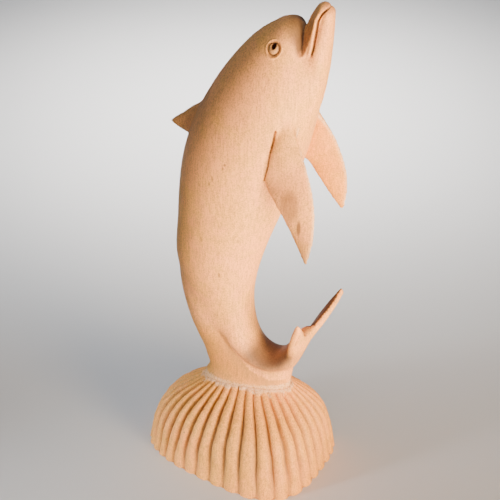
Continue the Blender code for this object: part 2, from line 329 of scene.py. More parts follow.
def blade(rows, tip, edge, side=1, lean=0.0, drop=0.0, twist=0.0, sides=48, rings=70):
    """A thin lens between two edges. Side -1 makes the same blade on the near flank."""
    flat = [(*lead, *trail, thick) for lead, trail, thick in rows]
    run = smooth_through(flat, rings, 6)
    middles = (run[:, :3] + run[:, 3:6]) / 2
    x, y, z = (run[:, 3:6] - run[:, :3]).T / 2
    twists = np.linspace(0, twist, rings)
    c, s = np.cos(twists), np.sin(twists)
    half = np.stack([x * c + z * s, y, z * c - x * s], 1)
    leads, trails = middles - half, middles + half
    spans = np.gradient(middles, axis=0)
    across = np.cross(trails - leads, spans)
    across /= np.linalg.norm(across, axis=1)[:, None]
    turns = np.linspace(0, math.tau, sides, endpoint=False)
    share = ((1 - np.cos(turns)) / 2)[:, None]
    wave = np.sin(turns)[:, None]
    swell = np.sign(wave) * np.abs(wave) ** edge / 2

    def place(points):
        points = np.atleast_2d(points)
        shift = math.tan(lean) * points[:, 1] * side
        moved = [points[:, 0] + shift, points[:, 1] * side, points[:, 2] - shift * drop]
        return to_metres(np.stack(moved, 1))

    loops = []
    for lead, trail, out, thick in zip(leads, trails, across, run[:, 6]):
        loops.append(place(lead + (trail - lead) * share + out * swell * thick))
    return tube(loops, (place(middles[0])[0], place(tip)[0]))


rough_parts += [
    blade(FLIPPER, FLIPPER_TIP, FLIPPER_EDGE, -1),
    blade(FLIPPER, FLIPPER_TIP, FLIPPER_EDGE),
    blade(FLUKE, FLUKE_TIP, FLUKE_EDGE, -1, *NEAR_FLUKE_SET),
    blade(FLUKE, FLUKE_TIP, FLUKE_EDGE, 1, *FAR_FLUKE_SET),
    blade(BACK_FIN, BACK_FIN_TIP, FIN_EDGE),
]
print("with the blades:", sum(len(faces) for points, faces in rough_parts), "faces")

# %% [markdown]
# ## The web under the tail
# A tail bent this sharply would snap off, so the carver left a web of wood standing under it.
# It is a stack of ovals that rises from inside the base and dies into the back.

# %% Web
WEB = [
    (-4.0, -11.6, 10.4, 5.2),
    (0.0, -11.3, 10.4, 5.4),
    (1.4, -10.5, 10.6, 4.9),
    (4.6, -11.2, 11.2, 4.6),
    (6.4, -11.7, 8.0, 4.5),
    (9.8, -13.1, 2.5, 4.6),
    (14.0, -14.8, -0.4, 5.0),
    (19.0, -16.1, -2.5, 5.8),
    (25.0, -17.4, -5.6, 5.2),
    (30.0, -18.1, -8.0, 4.0),
    (34.0, -17.8, -9.5, 2.8),
]


def web_loft(rings, sides):
    turns = np.linspace(0, math.tau, sides, endpoint=False)
    loops = []
    for up, back, front, width in smooth_through(WEB, rings, 1):
        middle, reach = (back + front) / 2, (front - back) / 2
        oval = [middle + reach * np.cos(turns), width * np.sin(turns), np.full(sides, up)]
        loops.append(to_metres(np.stack(oval, 1)))
    return tube(loops)


rough_parts.append(web_loft(80, 120))
rough = make_object("rough_dolphin", rough_parts)
print("rough dolphin:", len(rough.data.polygons), "faces in", len(rough_parts), "forms")

# %% [markdown]
# ## One skin
# The rough forms pass through each other. A voxel remesh throws away what is inside and lays one
# even skin of small squares over the rest, as if the forms had been cut from one block. Even
# squares also bend well, which the next steps need. A Boolean union would keep harder edges but
# leave long thin faces along every joint, and those show as soon as the joint is softened.

# %% Remesh to one skin
SKIN = 0.0007  # size of one square


def bake(obj):
    """The object's mesh as its modifiers leave it, with the modifiers gone."""
    graph = bpy.context.evaluated_depsgraph_get()
    mesh = bpy.data.meshes.new_from_object(obj.evaluated_get(graph))
    obj.modifiers.clear()
    obj.data = mesh


remesh = rough.modifiers.new("skin", "REMESH")
remesh.mode = "VOXEL"
remesh.voxel_size = SKIN
bake(rough)
dolphin = rough
dolphin.name = "dolphin"
print("skin:", len(dolphin.data.polygons), "faces")

# %% [markdown]
# ## Soften the joints
# Where a flipper leaves the chest the real wood flows from one form into the other, while other
# joints stay crisp. So the skin is relaxed by different amounts in different places: each point
# moves toward the middle of its neighbours, many times over along the lines named below, and
# only enough elsewhere to take out the stair steps of the remesh.

# %% Relax the skin
def read_points(mesh, what="co"):
    values = np.empty(len(mesh.vertices) * 3)
    mesh.vertices.foreach_get(what, values)
    return values.reshape(-1, 3)


def read_edges(mesh):
    values = np.empty(len(mesh.edges) * 2, int)
    mesh.edges.foreach_get("vertices", values)
    return values.reshape(-1, 2)


def write_points(mesh, points):
    mesh.vertices.foreach_set("co", points.ravel())
    mesh.update()


HALF_WAY = 0.5  # the usual share of the way to its neighbours' middle in one round


def relax(points, edges, weight, rounds):
    """Each point goes toward the middle of its neighbours by its own weight."""
    points = points.copy()
    ends = np.concatenate([edges[:, 0], edges[:, 1]])
    others = np.concatenate([edges[:, 1], edges[:, 0]])
    neighbours = np.bincount(ends, minlength=len(points))
    for _ in range(rounds):
        for axis in range(3):
            total = np.bincount(ends, points[others, axis], len(points))
            points[:, axis] += weight * (total / neighbours - points[:, axis])
    return points


def beside(points, line):
    """How far points lie from a line of points, and how far along it their nearest place is."""
    line = np.array(line, float)
    nearest = np.full(len(points), np.inf)
    along = np.zeros(len(points))
    for i, (a, b) in enumerate(zip(line, line[1:])):
        run = b - a
        t = np.clip((points - a) @ run / (run @ run), 0, 1)
        gap = np.linalg.norm(points - (a + t[:, None] * run), axis=1)
        closer = gap < nearest
        nearest[closer] = gap[closer]
        along[closer] = (i + t[closer]) / (len(line) - 1)
    return nearest, along


def fade(distance, reach):
    """1 on the line, 0 from this reach on, smooth between."""
    t = np.clip(1 - distance / reach, 0, 1)
    return t * t * (3 - 2 * t)


def both_flanks(line):
    return [line, [(x, -y, z) for x, y, z in line]]


# Each soft joint: its line in hundredths, how wide it is softened, and how many rounds.
CHEEK = [(10.5, -5.2, 71.0), (13.2, -5.0, 76.0), (13.7, -4.6, 81.0), (13.3, -4.2, 85.0)]
THROAT = [(13.5, 0.0, 68.0), (15.6, 0.0, 74.0), (17.4, 0.0, 81.0)]
FLIPPER_TOP = [(9.3, -6.5, 77.5), (11.5, -7.2, 75.2)]
FLIPPER_FRONT = [(12.4, -6.0, 74.5), (13.8, -7.0, 70.5), (15.0, -7.4, 67.5)]
FIN_ROOT_TOP = [(-9.0, 0.0, 75.5), (-11.5, 0.0, 72.5)]
TAIL_CREASE = [(-4.9, -6.1, 16.8), (-2.9, -4.8, 9.4), (1.6, -4.5, 4.4), (6.5, -3.6, 2.0)]
BACK_CREASE = [(-5.5, -6.2, 17.5), (-9.5, -5.8, 24.0), (-14.0, -4.2, 28.5), (-17.6, 0.0, 30.5)]
SNOUT_TIP = [(18.0, -1.2, 99.6), (18.0, 1.2, 99.6)]
TAIL_END = [(6.5, -3.8, 1.8), (9.3, -3.2, 2.2), (11.6, -1.2, 3.8)]
SOFT_JOINTS = [
    (both_flanks(CHEEK), 4.5, 160),
    ([THROAT], 4.5, 120),
    (both_flanks(FLIPPER_TOP), 3.2, 120),
    (both_flanks(FLIPPER_FRONT), 1.6, 12),
    ([FIN_ROOT_TOP], 3.0, 50),
    (both_flanks(TAIL_CREASE), 1.5, 14),
    (both_flanks(BACK_CREASE), 4.5, 220),
    ([SNOUT_TIP], 2.0, 25),
    (both_flanks(TAIL_END), 2.6, 260),
]
STEP_ROUNDS = 8
STEP_PULL, STEP_PUSH = 0.5, -0.52  # pulled in, then pushed back, so nothing shrinks

points = read_points(dolphin.data)
edges = read_edges(dolphin.data)
for _ in range(STEP_ROUNDS):
    points = relax(points, edges, STEP_PULL, 1)
    points = relax(points, edges, STEP_PUSH, 1)
for lines, reach, rounds in SOFT_JOINTS:
    figure = to_figure(points)
    gap = np.min([beside(figure, line)[0] for line in lines], axis=0)
    before = points
    points = relax(points, edges, fade(gap, reach) * HALF_WAY, rounds)
    moved = np.linalg.norm(points - before, axis=1).max()
    print("softened", len(lines), "line(s), largest move", round(moved * 1000, 2), "mm")
write_points(dolphin.data, points)

# %% [markdown]
# ## A flat under the tail lobes
# One broad stroke of the chisel took the underside of the tail flat, from the lobes down to the
# base. The points near that plane which face it are pressed onto it, and the push fades out
# toward the rims, so that the flat keeps a soft outline.

# %% Press the underside flat
FLAT_PLACE = Vector((14.6, -5.6, 15.3))
FLAT_NORMAL = Vector((0.947, -0.105, -0.305)).normalized()
FLAT_REACH = 1.6  # points farther from the plane than this stay, in hundredths
FLAT_TOP, FLAT_FOOT = 17.0, 1.0
FLAT_ENDS = 3  # and the push fades over this much at its top and its foot
FLAT_BACK = 8  # the flat lies forward of this
FLAT_ROUNDS = 10

points = read_points(dolphin.data)
figure = to_figure(points)
off = (figure - np.array(FLAT_PLACE)) @ np.array(FLAT_NORMAL)
# Skin that faces the plane within about 50 degrees is pressed in full, beyond 72 not at all.
facing = np.clip(read_points(dolphin.data, "normal") @ np.array(FLAT_NORMAL) * 3 - 0.9, 0, 1)
level = np.clip(np.minimum(FLAT_TOP - figure[:, 2], figure[:, 2] - FLAT_FOOT) / FLAT_ENDS, 0, 1)
press = facing * level * fade(np.abs(off), FLAT_REACH) * (figure[:, 0] > FLAT_BACK)
figure -= np.outer(press * off, np.array(FLAT_NORMAL))
edges = read_edges(dolphin.data)
points = relax(to_metres(figure), edges, press * HALF_WAY, FLAT_ROUNDS)
write_points(dolphin.data, points)
farthest = np.abs(press * off).max() * PERCENT * 1000
print("pressed", int((press > 0.5).sum()), "points, up to", round(farthest, 2), "mm")

# %% [markdown]
# ## A finer skin where the knife works finely
# The eyes, the mouth, the valley behind the beak, the slit behind each flipper and the groove in
# the tail lobe have lines thinner than the squares of the skin. Only the squares under them are
# divided, so the mesh stays light.

# %% Divide the squares under fine work
EYE = (7.7, -6.7, 90.4)  # middle of the near eye
EYE_LENGTH, EYE_WIDTH = 1.4, 1.22  # half sizes, in hundredths
MOUTH = [(18.7, 99.35), (17.2, 97.7), (16.5, 96.2), (16.1, 92.8), (15.8, 90.2), (15.3, 88.0)]
VALLEY = [(13.3, 88.4), (14.2, 91.5), (14.9, 94.0), (15.3, 96.6), (16.0, 99.1)]
SLIT = [(9.3, -9.4, 72.0), (8.5, -9.6, 67.8), (7.7, -9.9, 63.4), (6.8, -9.3, 59.6)]
LOBE_GROOVE = [(15.5, -8.4, 19.8), (14.8, -7.9, 18.0), (13.9, -7.1, 15.7)]
# How far from each the squares are divided. A second number divides them again, closer in.
FINE_EYE, FINE_MOUTH, FINE_VALLEY, FINE_CUTS = (4.2, 3.4), (1.6, 1.2), 2.6, (1.5, 1.0)


def finer(mesh, chosen):
    """Halve the edges of the faces whose points are all chosen."""
    bm = bmesh.new()
    bm.from_mesh(mesh)
    bm.verts.ensure_lookup_table()
    edges = set()
    for face in bm.faces:
        if all(chosen[v.index] for v in face.verts):
            edges.update(face.edges)
    bmesh.ops.subdivide_edges(bm, edges=list(edges), cuts=1, use_grid_fill=True)
    bm.to_mesh(mesh)
    bm.free()


def flank(figure):
    """The same points, all on the near flank, so that one line serves both."""
    return figure * [1, 0, 1] - np.abs(figure) * [0, 1, 0]


def near_line(mesh, line, reach):
    figure = flank(to_figure(read_points(mesh)))
    return beside(figure, line)[0] < reach


def near_profile(mesh, line, reach):
    """Near a line drawn in the middle plane, on either flank."""
    figure = to_figure(read_points(mesh))
    return beside(figure[:, [0, 2]], line)[0] < reach


def near_eye(mesh, reach):
    return np.linalg.norm(flank(to_figure(read_points(mesh))) - EYE, axis=1) < reach


for reach in FINE_EYE:
    finer(dolphin.data, near_eye(dolphin.data, reach))
for reach in FINE_MOUTH:
    finer(dolphin.data, near_profile(dolphin.data, MOUTH, reach))
finer(dolphin.data, near_profile(dolphin.data, VALLEY, FINE_VALLEY))
for line in (SLIT, LOBE_GROOVE):
    for reach in FINE_CUTS:
        finer(dolphin.data, near_line(dolphin.data, line, reach))
print("after dividing:", len(dolphin.data.polygons), "faces")

# %% [markdown]
# ## The valley between forehead and beak
# The knife goes in from either flank and leaves a valley that deepens toward the top of the head.
# Its wall toward the beak is crisp and the one toward the forehead slopes, so the depth fades out
# over a short way on one side and a long way on the other.

# %% The valley between forehead and beak
VALLEY_FRONT = 0.35  # half width toward the beak, in hundredths: a crisp edge
# How high up a point lies, and how wide and how deep the valley is there toward the forehead.
VALLEY_SHAPE = [
    (88.2, 0.5, 0.3),
    (90.5, 1.8, 1.6),
    (92.0, 2.8, 2.4),
    (94.6, 4.2, 2.6),
    (97.0, 5.5, 2.4),
]
VALLEY_BACKWARD = 0.6  # its wall is also set back from the beak by this share of the depth
VALLEY_MOST = 0.8  # it reaches at most this share of the way in to the middle plane
VALLEY_SOFT, VALLEY_ROUNDS = 1.2, 5


def across_valley(figure):
    """0 on the floor of the valley and 1 at its rims, and its depth at each point."""
    forward, up = np.array(VALLEY).T
    off = figure[:, 0] - np.interp(figure[:, 2], up, forward)
    height, wide, deep = np.array(VALLEY_SHAPE).T
    wide = np.interp(figure[:, 2], height, wide)
    deep = np.interp(figure[:, 2], height, deep) * (figure[:, 2] > height[0])
    return np.where(off > 0, off / VALLEY_FRONT, -off / wide), deep


points = read_points(dolphin.data)
edges = read_edges(dolphin.data)
figure = to_figure(points)
across, deep = across_valley(figure)
pull = np.minimum(deep * fade(across, 1), np.abs(figure[:, 1]) * VALLEY_MOST)
figure[:, 1] -= np.sign(figure[:, 1]) * pull
figure[:, 0] -= pull * VALLEY_BACKWARD
soft = fade(across, VALLEY_SOFT) * (deep > 0)
points = relax(to_metres(figure), edges, soft * HALF_WAY, VALLEY_ROUNDS)
write_points(dolphin.data, points)
print("valley cut up to", round(pull.max() * PERCENT * 1000, 2), "mm from each side")

# %% [markdown]
# ## Eyes
# From here on the knife only lowers or raises the skin along its own normal, by a depth that
# depends on the distance from a line or a point. That keeps every cut a short formula. The depths
# are added up first and the skin is moved once, so that cuts which meet do not fight. The eye is
# a low dome in a ring, with a pit for the pupil.

# %% Eyes
MOUTH_SMOOTH, SMOOTH_ROUNDS = 1.4, 6  # the divided skin is smoothed once before it is cut
EYE_ALONG = Vector((0.1, 0.0, 1.0)).normalized()  # the long way of the eye, up the head
EYE_DOME = 0.0009
LID_DEPTH = 0.0009
LID_INNER, LID_OUTER = 0.2, 0.42  # the cut is steep toward the ball and slants outward
LID_RAISE = 0.0002
LID_PLACE, LID_WIDTH = 1.5, 0.25  # the raised lid runs this far out, where the cut runs at 1
EYE_ROUND = 4.0  # nothing of an eye lies farther from its middle than this
PUPIL_UP, PUPIL_ASIDE = 0.55, 0.05  # the pupil sits a little above the middle of the eye
PUPIL_SIZE = (0.8, 0.52)
PUPIL_FLOOR, PUPIL_WALL = 0.75, 0.5  # its pit is flat out to the first and rises over the second
PUPIL_DEPTH = 0.0008


def eye_reach(figure, normal):
    """Distance from the middle of the eye, 1 on the line of the lids, and its two parts."""
    out = Vector(normal)
    along = (EYE_ALONG - out * EYE_ALONG.dot(out)).normalized()
    across = out.cross(along)
    rest = figure - np.array(EYE)
    up, aside = rest @ np.array(along), rest @ np.array(across)
    reach = (np.abs(up / EYE_LENGTH) ** 1.8 + np.abs(aside / EYE_WIDTH) ** 2) ** (1 / 1.9)
    return reach, up, aside


points = read_points(dolphin.data)
fine = near_eye(dolphin.data, FINE_EYE[0]) | near_profile(dolphin.data, MOUTH, MOUTH_SMOOTH)
points = relax(points, edges, fine * HALF_WAY, SMOOTH_ROUNDS)
write_points(dolphin.data, points)
normals = read_points(dolphin.data, "normal")
figure = flank(to_figure(points))
depth = np.zeros(len(points))

from_eye = np.linalg.norm(figure - EYE, axis=1)
in_eye, eye_up, eye_across = eye_reach(figure, flank(normals)[np.argmin(from_eye)])
close = from_eye < EYE_ROUND
lid = fade(np.abs(in_eye - 1), np.where(in_eye < 1, LID_INNER, LID_OUTER)) * close
depth += close * np.where(in_eye < 1, EYE_DOME * np.clip(1 - in_eye ** 2, 0, 1), 0)
depth -= LID_DEPTH * lid
depth += close * LID_RAISE * fade(np.abs(in_eye - LID_PLACE), LID_WIDTH)
up, aside = (eye_up - PUPIL_UP) / PUPIL_SIZE[0], (eye_across - PUPIL_ASIDE) / PUPIL_SIZE[1]
pupil = close * fade(np.maximum(np.hypot(up, aside) - PUPIL_FLOOR, 0), PUPIL_WALL)
depth -= PUPIL_DEPTH * pupil
print("points in the eyes:", int((close * (in_eye < 1)).sum()))

# %% [markdown]
# ## Mouth and lip
# The mouth is one V-shaped cut on each flank, steep toward the lower jaw and slanted toward the
# upper one. It runs out softly at both ends. Behind it the upper lip is raised a little, so that
# it catches the light beside the dark of the cut.

# %% Mouth and lip
MOUTH_DEPTH = 0.0014
MOUTH_BACK, MOUTH_FRONT = 0.55, 0.22  # half widths of the cut: it slants toward the upper lip
MOUTH_FULL = (0.12, 0.9)  # shares of its length between which the cut has its full depth
RUN_OUT = 0.1  # share of the length over which it ends
LIP_RAISE = 0.0005
LIP_OFFSET = 0.75  # the raised lip runs this far behind the cut
LIP_WIDTH = 0.6

gap, along = beside(figure[:, [0, 2]], MOUTH)
forward, up = np.array(MOUTH[::-1]).T
behind = figure[:, 0] < np.interp(figure[:, 2], up, forward)
top, low = MOUTH_FULL
ends = fade(np.clip(along - low, 0, 1), RUN_OUT) * fade(np.clip(top - along, 0, 1), top)
mouth = fade(gap, np.where(behind, MOUTH_BACK, MOUTH_FRONT)) * ends
depth -= MOUTH_DEPTH * mouth
lip_line = [(x - LIP_OFFSET, z + LIP_OFFSET * 0.2) for x, z in MOUTH[1:]]
gap, along = beside(figure[:, [0, 2]], lip_line)
depth += LIP_RAISE * fade(gap, LIP_WIDTH) * fade(np.clip(along - low, 0, 1), RUN_OUT)
print("points in the mouth:", int((mouth > 0).sum()))

# %% [markdown]
# ## Flipper edges, slits and tail groove
# The front edge of each flipper stands up from the chest and the chest is lowered before it. A
# slit behind the flipper sets it free of the body, and one gouge stroke marks each tail lobe.
# After that the skin is moved by all the depths at once.

# %% Flipper edges, slits and tail groove
FLIPPER_EDGE_LINE = [(11.4, -8.3, 75.4), (12.2, -7.9, 73.0), (13.5, -8.0, 70.2), (14.9, -8.4, 67.5)]
EDGE_RAISE = 0.0005
EDGE_STEP = 1.0  # the lowered line runs this far in front of the raised one, in hundredths
EDGE_WIDTH = 0.8
EDGE_RUN_IN = 0.4  # share of its length over which the edge comes up
SLIT_DEPTH, SLIT_WIDTH = 0.0012, 0.42
LOBE_DEPTH, LOBE_WIDTH = 0.0009, 0.55

chest_line = [(x + EDGE_STEP, y, z + EDGE_STEP * 0.3) for x, y, z in FLIPPER_EDGE_LINE]
for line, lift in ((FLIPPER_EDGE_LINE, EDGE_RAISE), (chest_line, -EDGE_RAISE)):
    gap, along = beside(figure, line)
    depth += lift * fade(gap, EDGE_WIDTH) * fade(np.maximum(EDGE_RUN_IN - along, 0), EDGE_RUN_IN)

cuts = [(SLIT, SLIT_DEPTH, SLIT_WIDTH), (LOBE_GROOVE, LOBE_DEPTH, LOBE_WIDTH)]
slits = np.zeros(len(points))
for line, deep, wide in cuts:
    gap, along = beside(figure, line)
    depth -= deep * fade(gap, wide)
    slits = np.maximum(slits, fade(gap, wide) * deep / SLIT_DEPTH)
points += normals * depth[:, None]
write_points(dolphin.data, points)
print("cuts from", round(depth.min() * 1000, 2), "to", round(depth.max() * 1000, 2), "mm")

# %% [markdown]
# ## The plain dome of the base
# Before its flutes are cut the base is a domed block. Its plan is a rounded oblong, turned a
# little against the dolphin, and its top closes in to the oval foot of the web. Each ring of
# points lies a share of the way from that oval out to the plan. Three values are kept on every
# point for the next step: how far round it is, how far down, and how deep a flute may be there.

# %% Measures of the base
BASE_LENGTH = 0.0962
BASE_WIDTH = 0.0696
BASE_TAPER = 0.26  # the belly end is wider
BASE_SQUARENESS = 3.0  # 2 would be an oval plan, more comes nearer to an oblong
BASE_TURN = math.radians(-6.4)
BASE_CENTRE = (-0.0062, -0.0015)  # against the place of the tail
SEAM_RISE = 0.03  # the seam climbs toward the belly by this share of the way
SEAM_SAG = 0.0024  # and hangs this much lower at its two ends
KNEE_RUN = 0.73  # share of the way out where the slope turns into the wall
KNEE_HEIGHT = 0.645  # and its share of the height
KNEE_SHARPNESS = 4.1
FOOT_TUCK = 0.04  # the wall draws in at the table by this share of the way out
FOOT_TUCK_HEIGHT = 0.0125  # and starts to do so at this height
FLUTE_COUNT = 34
FLUTE_START = 0.37  # where the first flute begins, counted in flutes
FLUTE_CROWDING = 0.2  # how much narrower the narrow flutes are
FLUTE_WIDEST = 0.84  # share of the way round where they are widest
SEAM_TWIST = -0.027  # each flute starts this share of a turn farther round than it ends
FLUTE_FADE, FLUTE_GROWTH = 0.4, 2  # share of the depth at the seam, and how fast it grows
FOOT_FADE, FOOT_FADE_REACH = 0.5, 0.35  # and at the foot, from this share of the way up
FLUTE_POINTS = 20  # mesh points across one flute
BASE_RINGS = 90
PLAN_STEPS, PROFILE_STEPS = 4000, 4500  # fine steps, of which evenly spaced ones are picked
SEAM_INSET = 0.93  # the dome starts a little inside the web, so no gap can open between them
SEAM_BACK, SEAM_FRONT, SEAM_HALF = (v * PERCENT for v in WEB[1][1:])  # the web's oval there
LID_INSETS, LID_SINK = (0.6, 0.8), 0.001  # rings that close the dome, sunk inside the web
SOLE_INSETS = (0.97, 0.5)
ON_LID, ON_SOLE = -1.0, -2.0  # kept in place of how far down, where nothing is cut
print("flutes:", FLUTE_COUNT, "on a base of", BASE_LENGTH, "by", BASE_WIDTH, "m")

# %% [markdown]
# ## The dome as rings of points
# One function places points round the foot and round the seam, crowded where the flutes are
# narrow. Another gives the side view: a slope and a wall that melt into each other at the knee.
# The rings between are mixed from the two, which keeps every flute one straight strip of points.

# %% Plain dome
def evenly_round(x, y, shares):
    """Places along a closed line of points, at these shares of its length."""
    run = np.concatenate([[0], np.cumsum(np.hypot(np.diff(x), np.diff(y)))])
    at = shares % 1 * run[-1]
    return np.stack([np.interp(at, run, x), np.interp(at, run, y)], 1)


def base_lines():
    """Points round the foot of the block and the matching points round the seam above."""
    even = (np.arange(FLUTE_COUNT * FLUTE_POINTS) / FLUTE_POINTS + FLUTE_START) / FLUTE_COUNT
    slip = np.sin(4 * math.pi * (even - FLUTE_WIDEST)) / (4 * math.pi)
    shares = even + FLUTE_CROWDING * slip
    turns = np.linspace(0, math.tau, PLAN_STEPS)
    c, s = np.cos(turns), np.sin(turns)
    power = 2 / BASE_SQUARENESS
    x = np.sign(c) * np.abs(c) ** power * BASE_LENGTH / 2
    y = np.sign(s) * np.abs(s) ** power * BASE_WIDTH / 2
    y *= 1 + BASE_TAPER * x / (BASE_LENGTH / 2)
    ct, st = math.cos(BASE_TURN), math.sin(BASE_TURN)
    foot = evenly_round(x * ct - y * st, x * st + y * ct, shares) + np.array(BASE_CENTRE)
    x = (SEAM_BACK + SEAM_FRONT) / 2 + (SEAM_FRONT - SEAM_BACK) / 2 * c
    return foot, evenly_round(x, SEAM_HALF * s, shares + SEAM_TWIST)


def base_profile():
    """Shares of the way out and of the height, evenly spaced down the slope and the wall."""
    share = np.linspace(0, 1, PROFILE_STEPS)
    slope = 1 - (1 - KNEE_HEIGHT) / KNEE_RUN * share
    wall = np.maximum(KNEE_HEIGHT * (1 - share) / (1 - KNEE_RUN), 1e-6)
    height = (slope ** -KNEE_SHARPNESS + wall ** -KNEE_SHARPNESS) ** (-1 / KNEE_SHARPNESS)
    height /= height[0]
    out = np.diff(share) * (BASE_WIDTH / 2 - SEAM_HALF)
    run = np.concatenate([[0], np.cumsum(np.hypot(out, np.diff(height) * BASE_HEIGHT))])
    at = np.linspace(0, run[-1], BASE_RINGS)
    return zip(np.interp(at, run, share), np.interp(at, run, height), at / run[-1])


def keep(mesh, name, values):
    """Leave a value on every point, for a node tree or a material to read."""
    attribute = mesh.attributes.new(name, "FLOAT", "POINT")
    attribute.data.foreach_set("value", values)


def make_dome():
    foot, seam = base_lines()
    count = len(foot)
    ends = 1 - (seam[:, 1] / SEAM_HALF) ** 2
    rise = seam[:, 0] * SEAM_RISE - SEAM_SAG * ends
    middle = seam.mean(0)
    rings, down = [], []
    for inset in LID_INSETS:
        places = middle + (seam - middle) * inset
        rings.append(np.column_stack([places, BASE_HEIGHT + rise - LID_SINK]))
        down.append(ON_LID)
    for share, height, along in base_profile():
        tuck = FOOT_TUCK * max(0, 1 - height * BASE_HEIGHT / FOOT_TUCK_HEIGHT)
        start = middle + (seam - middle) * (SEAM_INSET if along == 0 else 1)
        places = start + (foot - start) * (share - tuck)
        rings.append(np.column_stack([places, height * BASE_HEIGHT + rise * (1 - share) ** 2]))
        down.append(along)
    sole = rings[-1][:, :2]
    for inset in SOLE_INSETS:
        places = sole.mean(0) + (sole - sole.mean(0)) * inset
        rings.append(np.column_stack([places, np.zeros(count)]))
        down.append(ON_SOLE)
    to_frame = np.array([TAIL_PLACE[0], TAIL_PLACE[1], 0])
    rings = [ring + to_frame for ring in rings]
    obj = make_object("base", [tube(rings, (rings[0].mean(0), rings[-1].mean(0)))])
    down = np.repeat(down, count)
    around = np.tile(np.arange(count) / count, len(rings))
    deep = np.where(down < 0, 0, np.minimum(1, FLUTE_FADE + FLUTE_GROWTH * down))
    deep *= 1 - (1 - FOOT_FADE) * fade(1 - np.clip(down, 0, 1), FOOT_FADE_REACH)
    for name, values in (("around", around), ("down", down), ("deep", deep)):
        keep(obj.data, name, np.append(values, [0, 0]))
    return obj


base = make_dome()
print("dome:", len(base.data.polygons), "faces")

# %% [markdown]
# ## Flutes by Geometry Nodes
# A flute repeats round the base by one rule, so a node tree cuts them all: it takes how far
# round a point lies, counts that in flutes, and lowers the point by a rounded ridge profile with
# a sharp bottom between two ridges. A slow noise makes the gouge wander, because no two flutes of
# the real base are alike, and a fine one leaves the small steps of the tool. Node trees are long
# to write out, so a few helpers come first, which the wood uses too.

# %% Helpers for node trees
def add(tree, kind, inputs=None, **settings):
    """A node with its settings, and with values or other nodes' outputs put into its inputs."""
    node = tree.nodes.new(kind)
    for name, value in settings.items():
        setattr(node, name, value)
    for key, value in (inputs or {}).items():
        if isinstance(value, bpy.types.NodeSocket):
            tree.links.new(value, node.inputs[key])
        else:
            node.inputs[key].default_value = value
    return node


def calc(tree, operation, a, b=0.0):
    """The output of one Math node."""
    return add(tree, "ShaderNodeMath", {0: a, 1: b}, operation=operation).outputs[0]


def smooth_step(tree, value, low, high):
    """0 below low, 1 above high, smooth between."""
    inputs = {"Value": value, "From Min": low, "From Max": high}
    return add(tree, "ShaderNodeMapRange", inputs, interpolation_type="SMOOTHSTEP").outputs[0]


def noise(tree, vector, scale, detail, seed):
    """A soft random value about 0.5 at each place."""
    inputs = {"Vector": vector, "W": seed, "Scale": scale, "Detail": detail}
    return add(tree, "ShaderNodeTexNoise", inputs, noise_dimensions="4D").outputs[0]


print("node helpers ready")

# %% [markdown]
# ## The tree that cuts the flutes
# Its inputs are what a carver could change: how many flutes, how deep and how round, how much the
# gouge wanders, how deep its steps are, and how wide and how high the torn fibre stands at the
# seam. It also leaves two values on every point, the groove and the torn fibre, for the colours.

# %% Tree that cuts the flutes
COLLAR_SCALE = 420.0  # how fine the torn fibre is
WANDER_SCALE = 38.0  # how slowly the gouge wanders
STEP_SCALE = 240.0  # how close its steps lie
COLLAR_FROM, COLLAR_EDGE = 0.3, 0.02  # noise above the first makes the collar, with this soft edge
COLLAR_RAISED = 0.2  # and noise above this lifts it
COLLAR_FILLS = 0.9  # the share of a flute that it fills


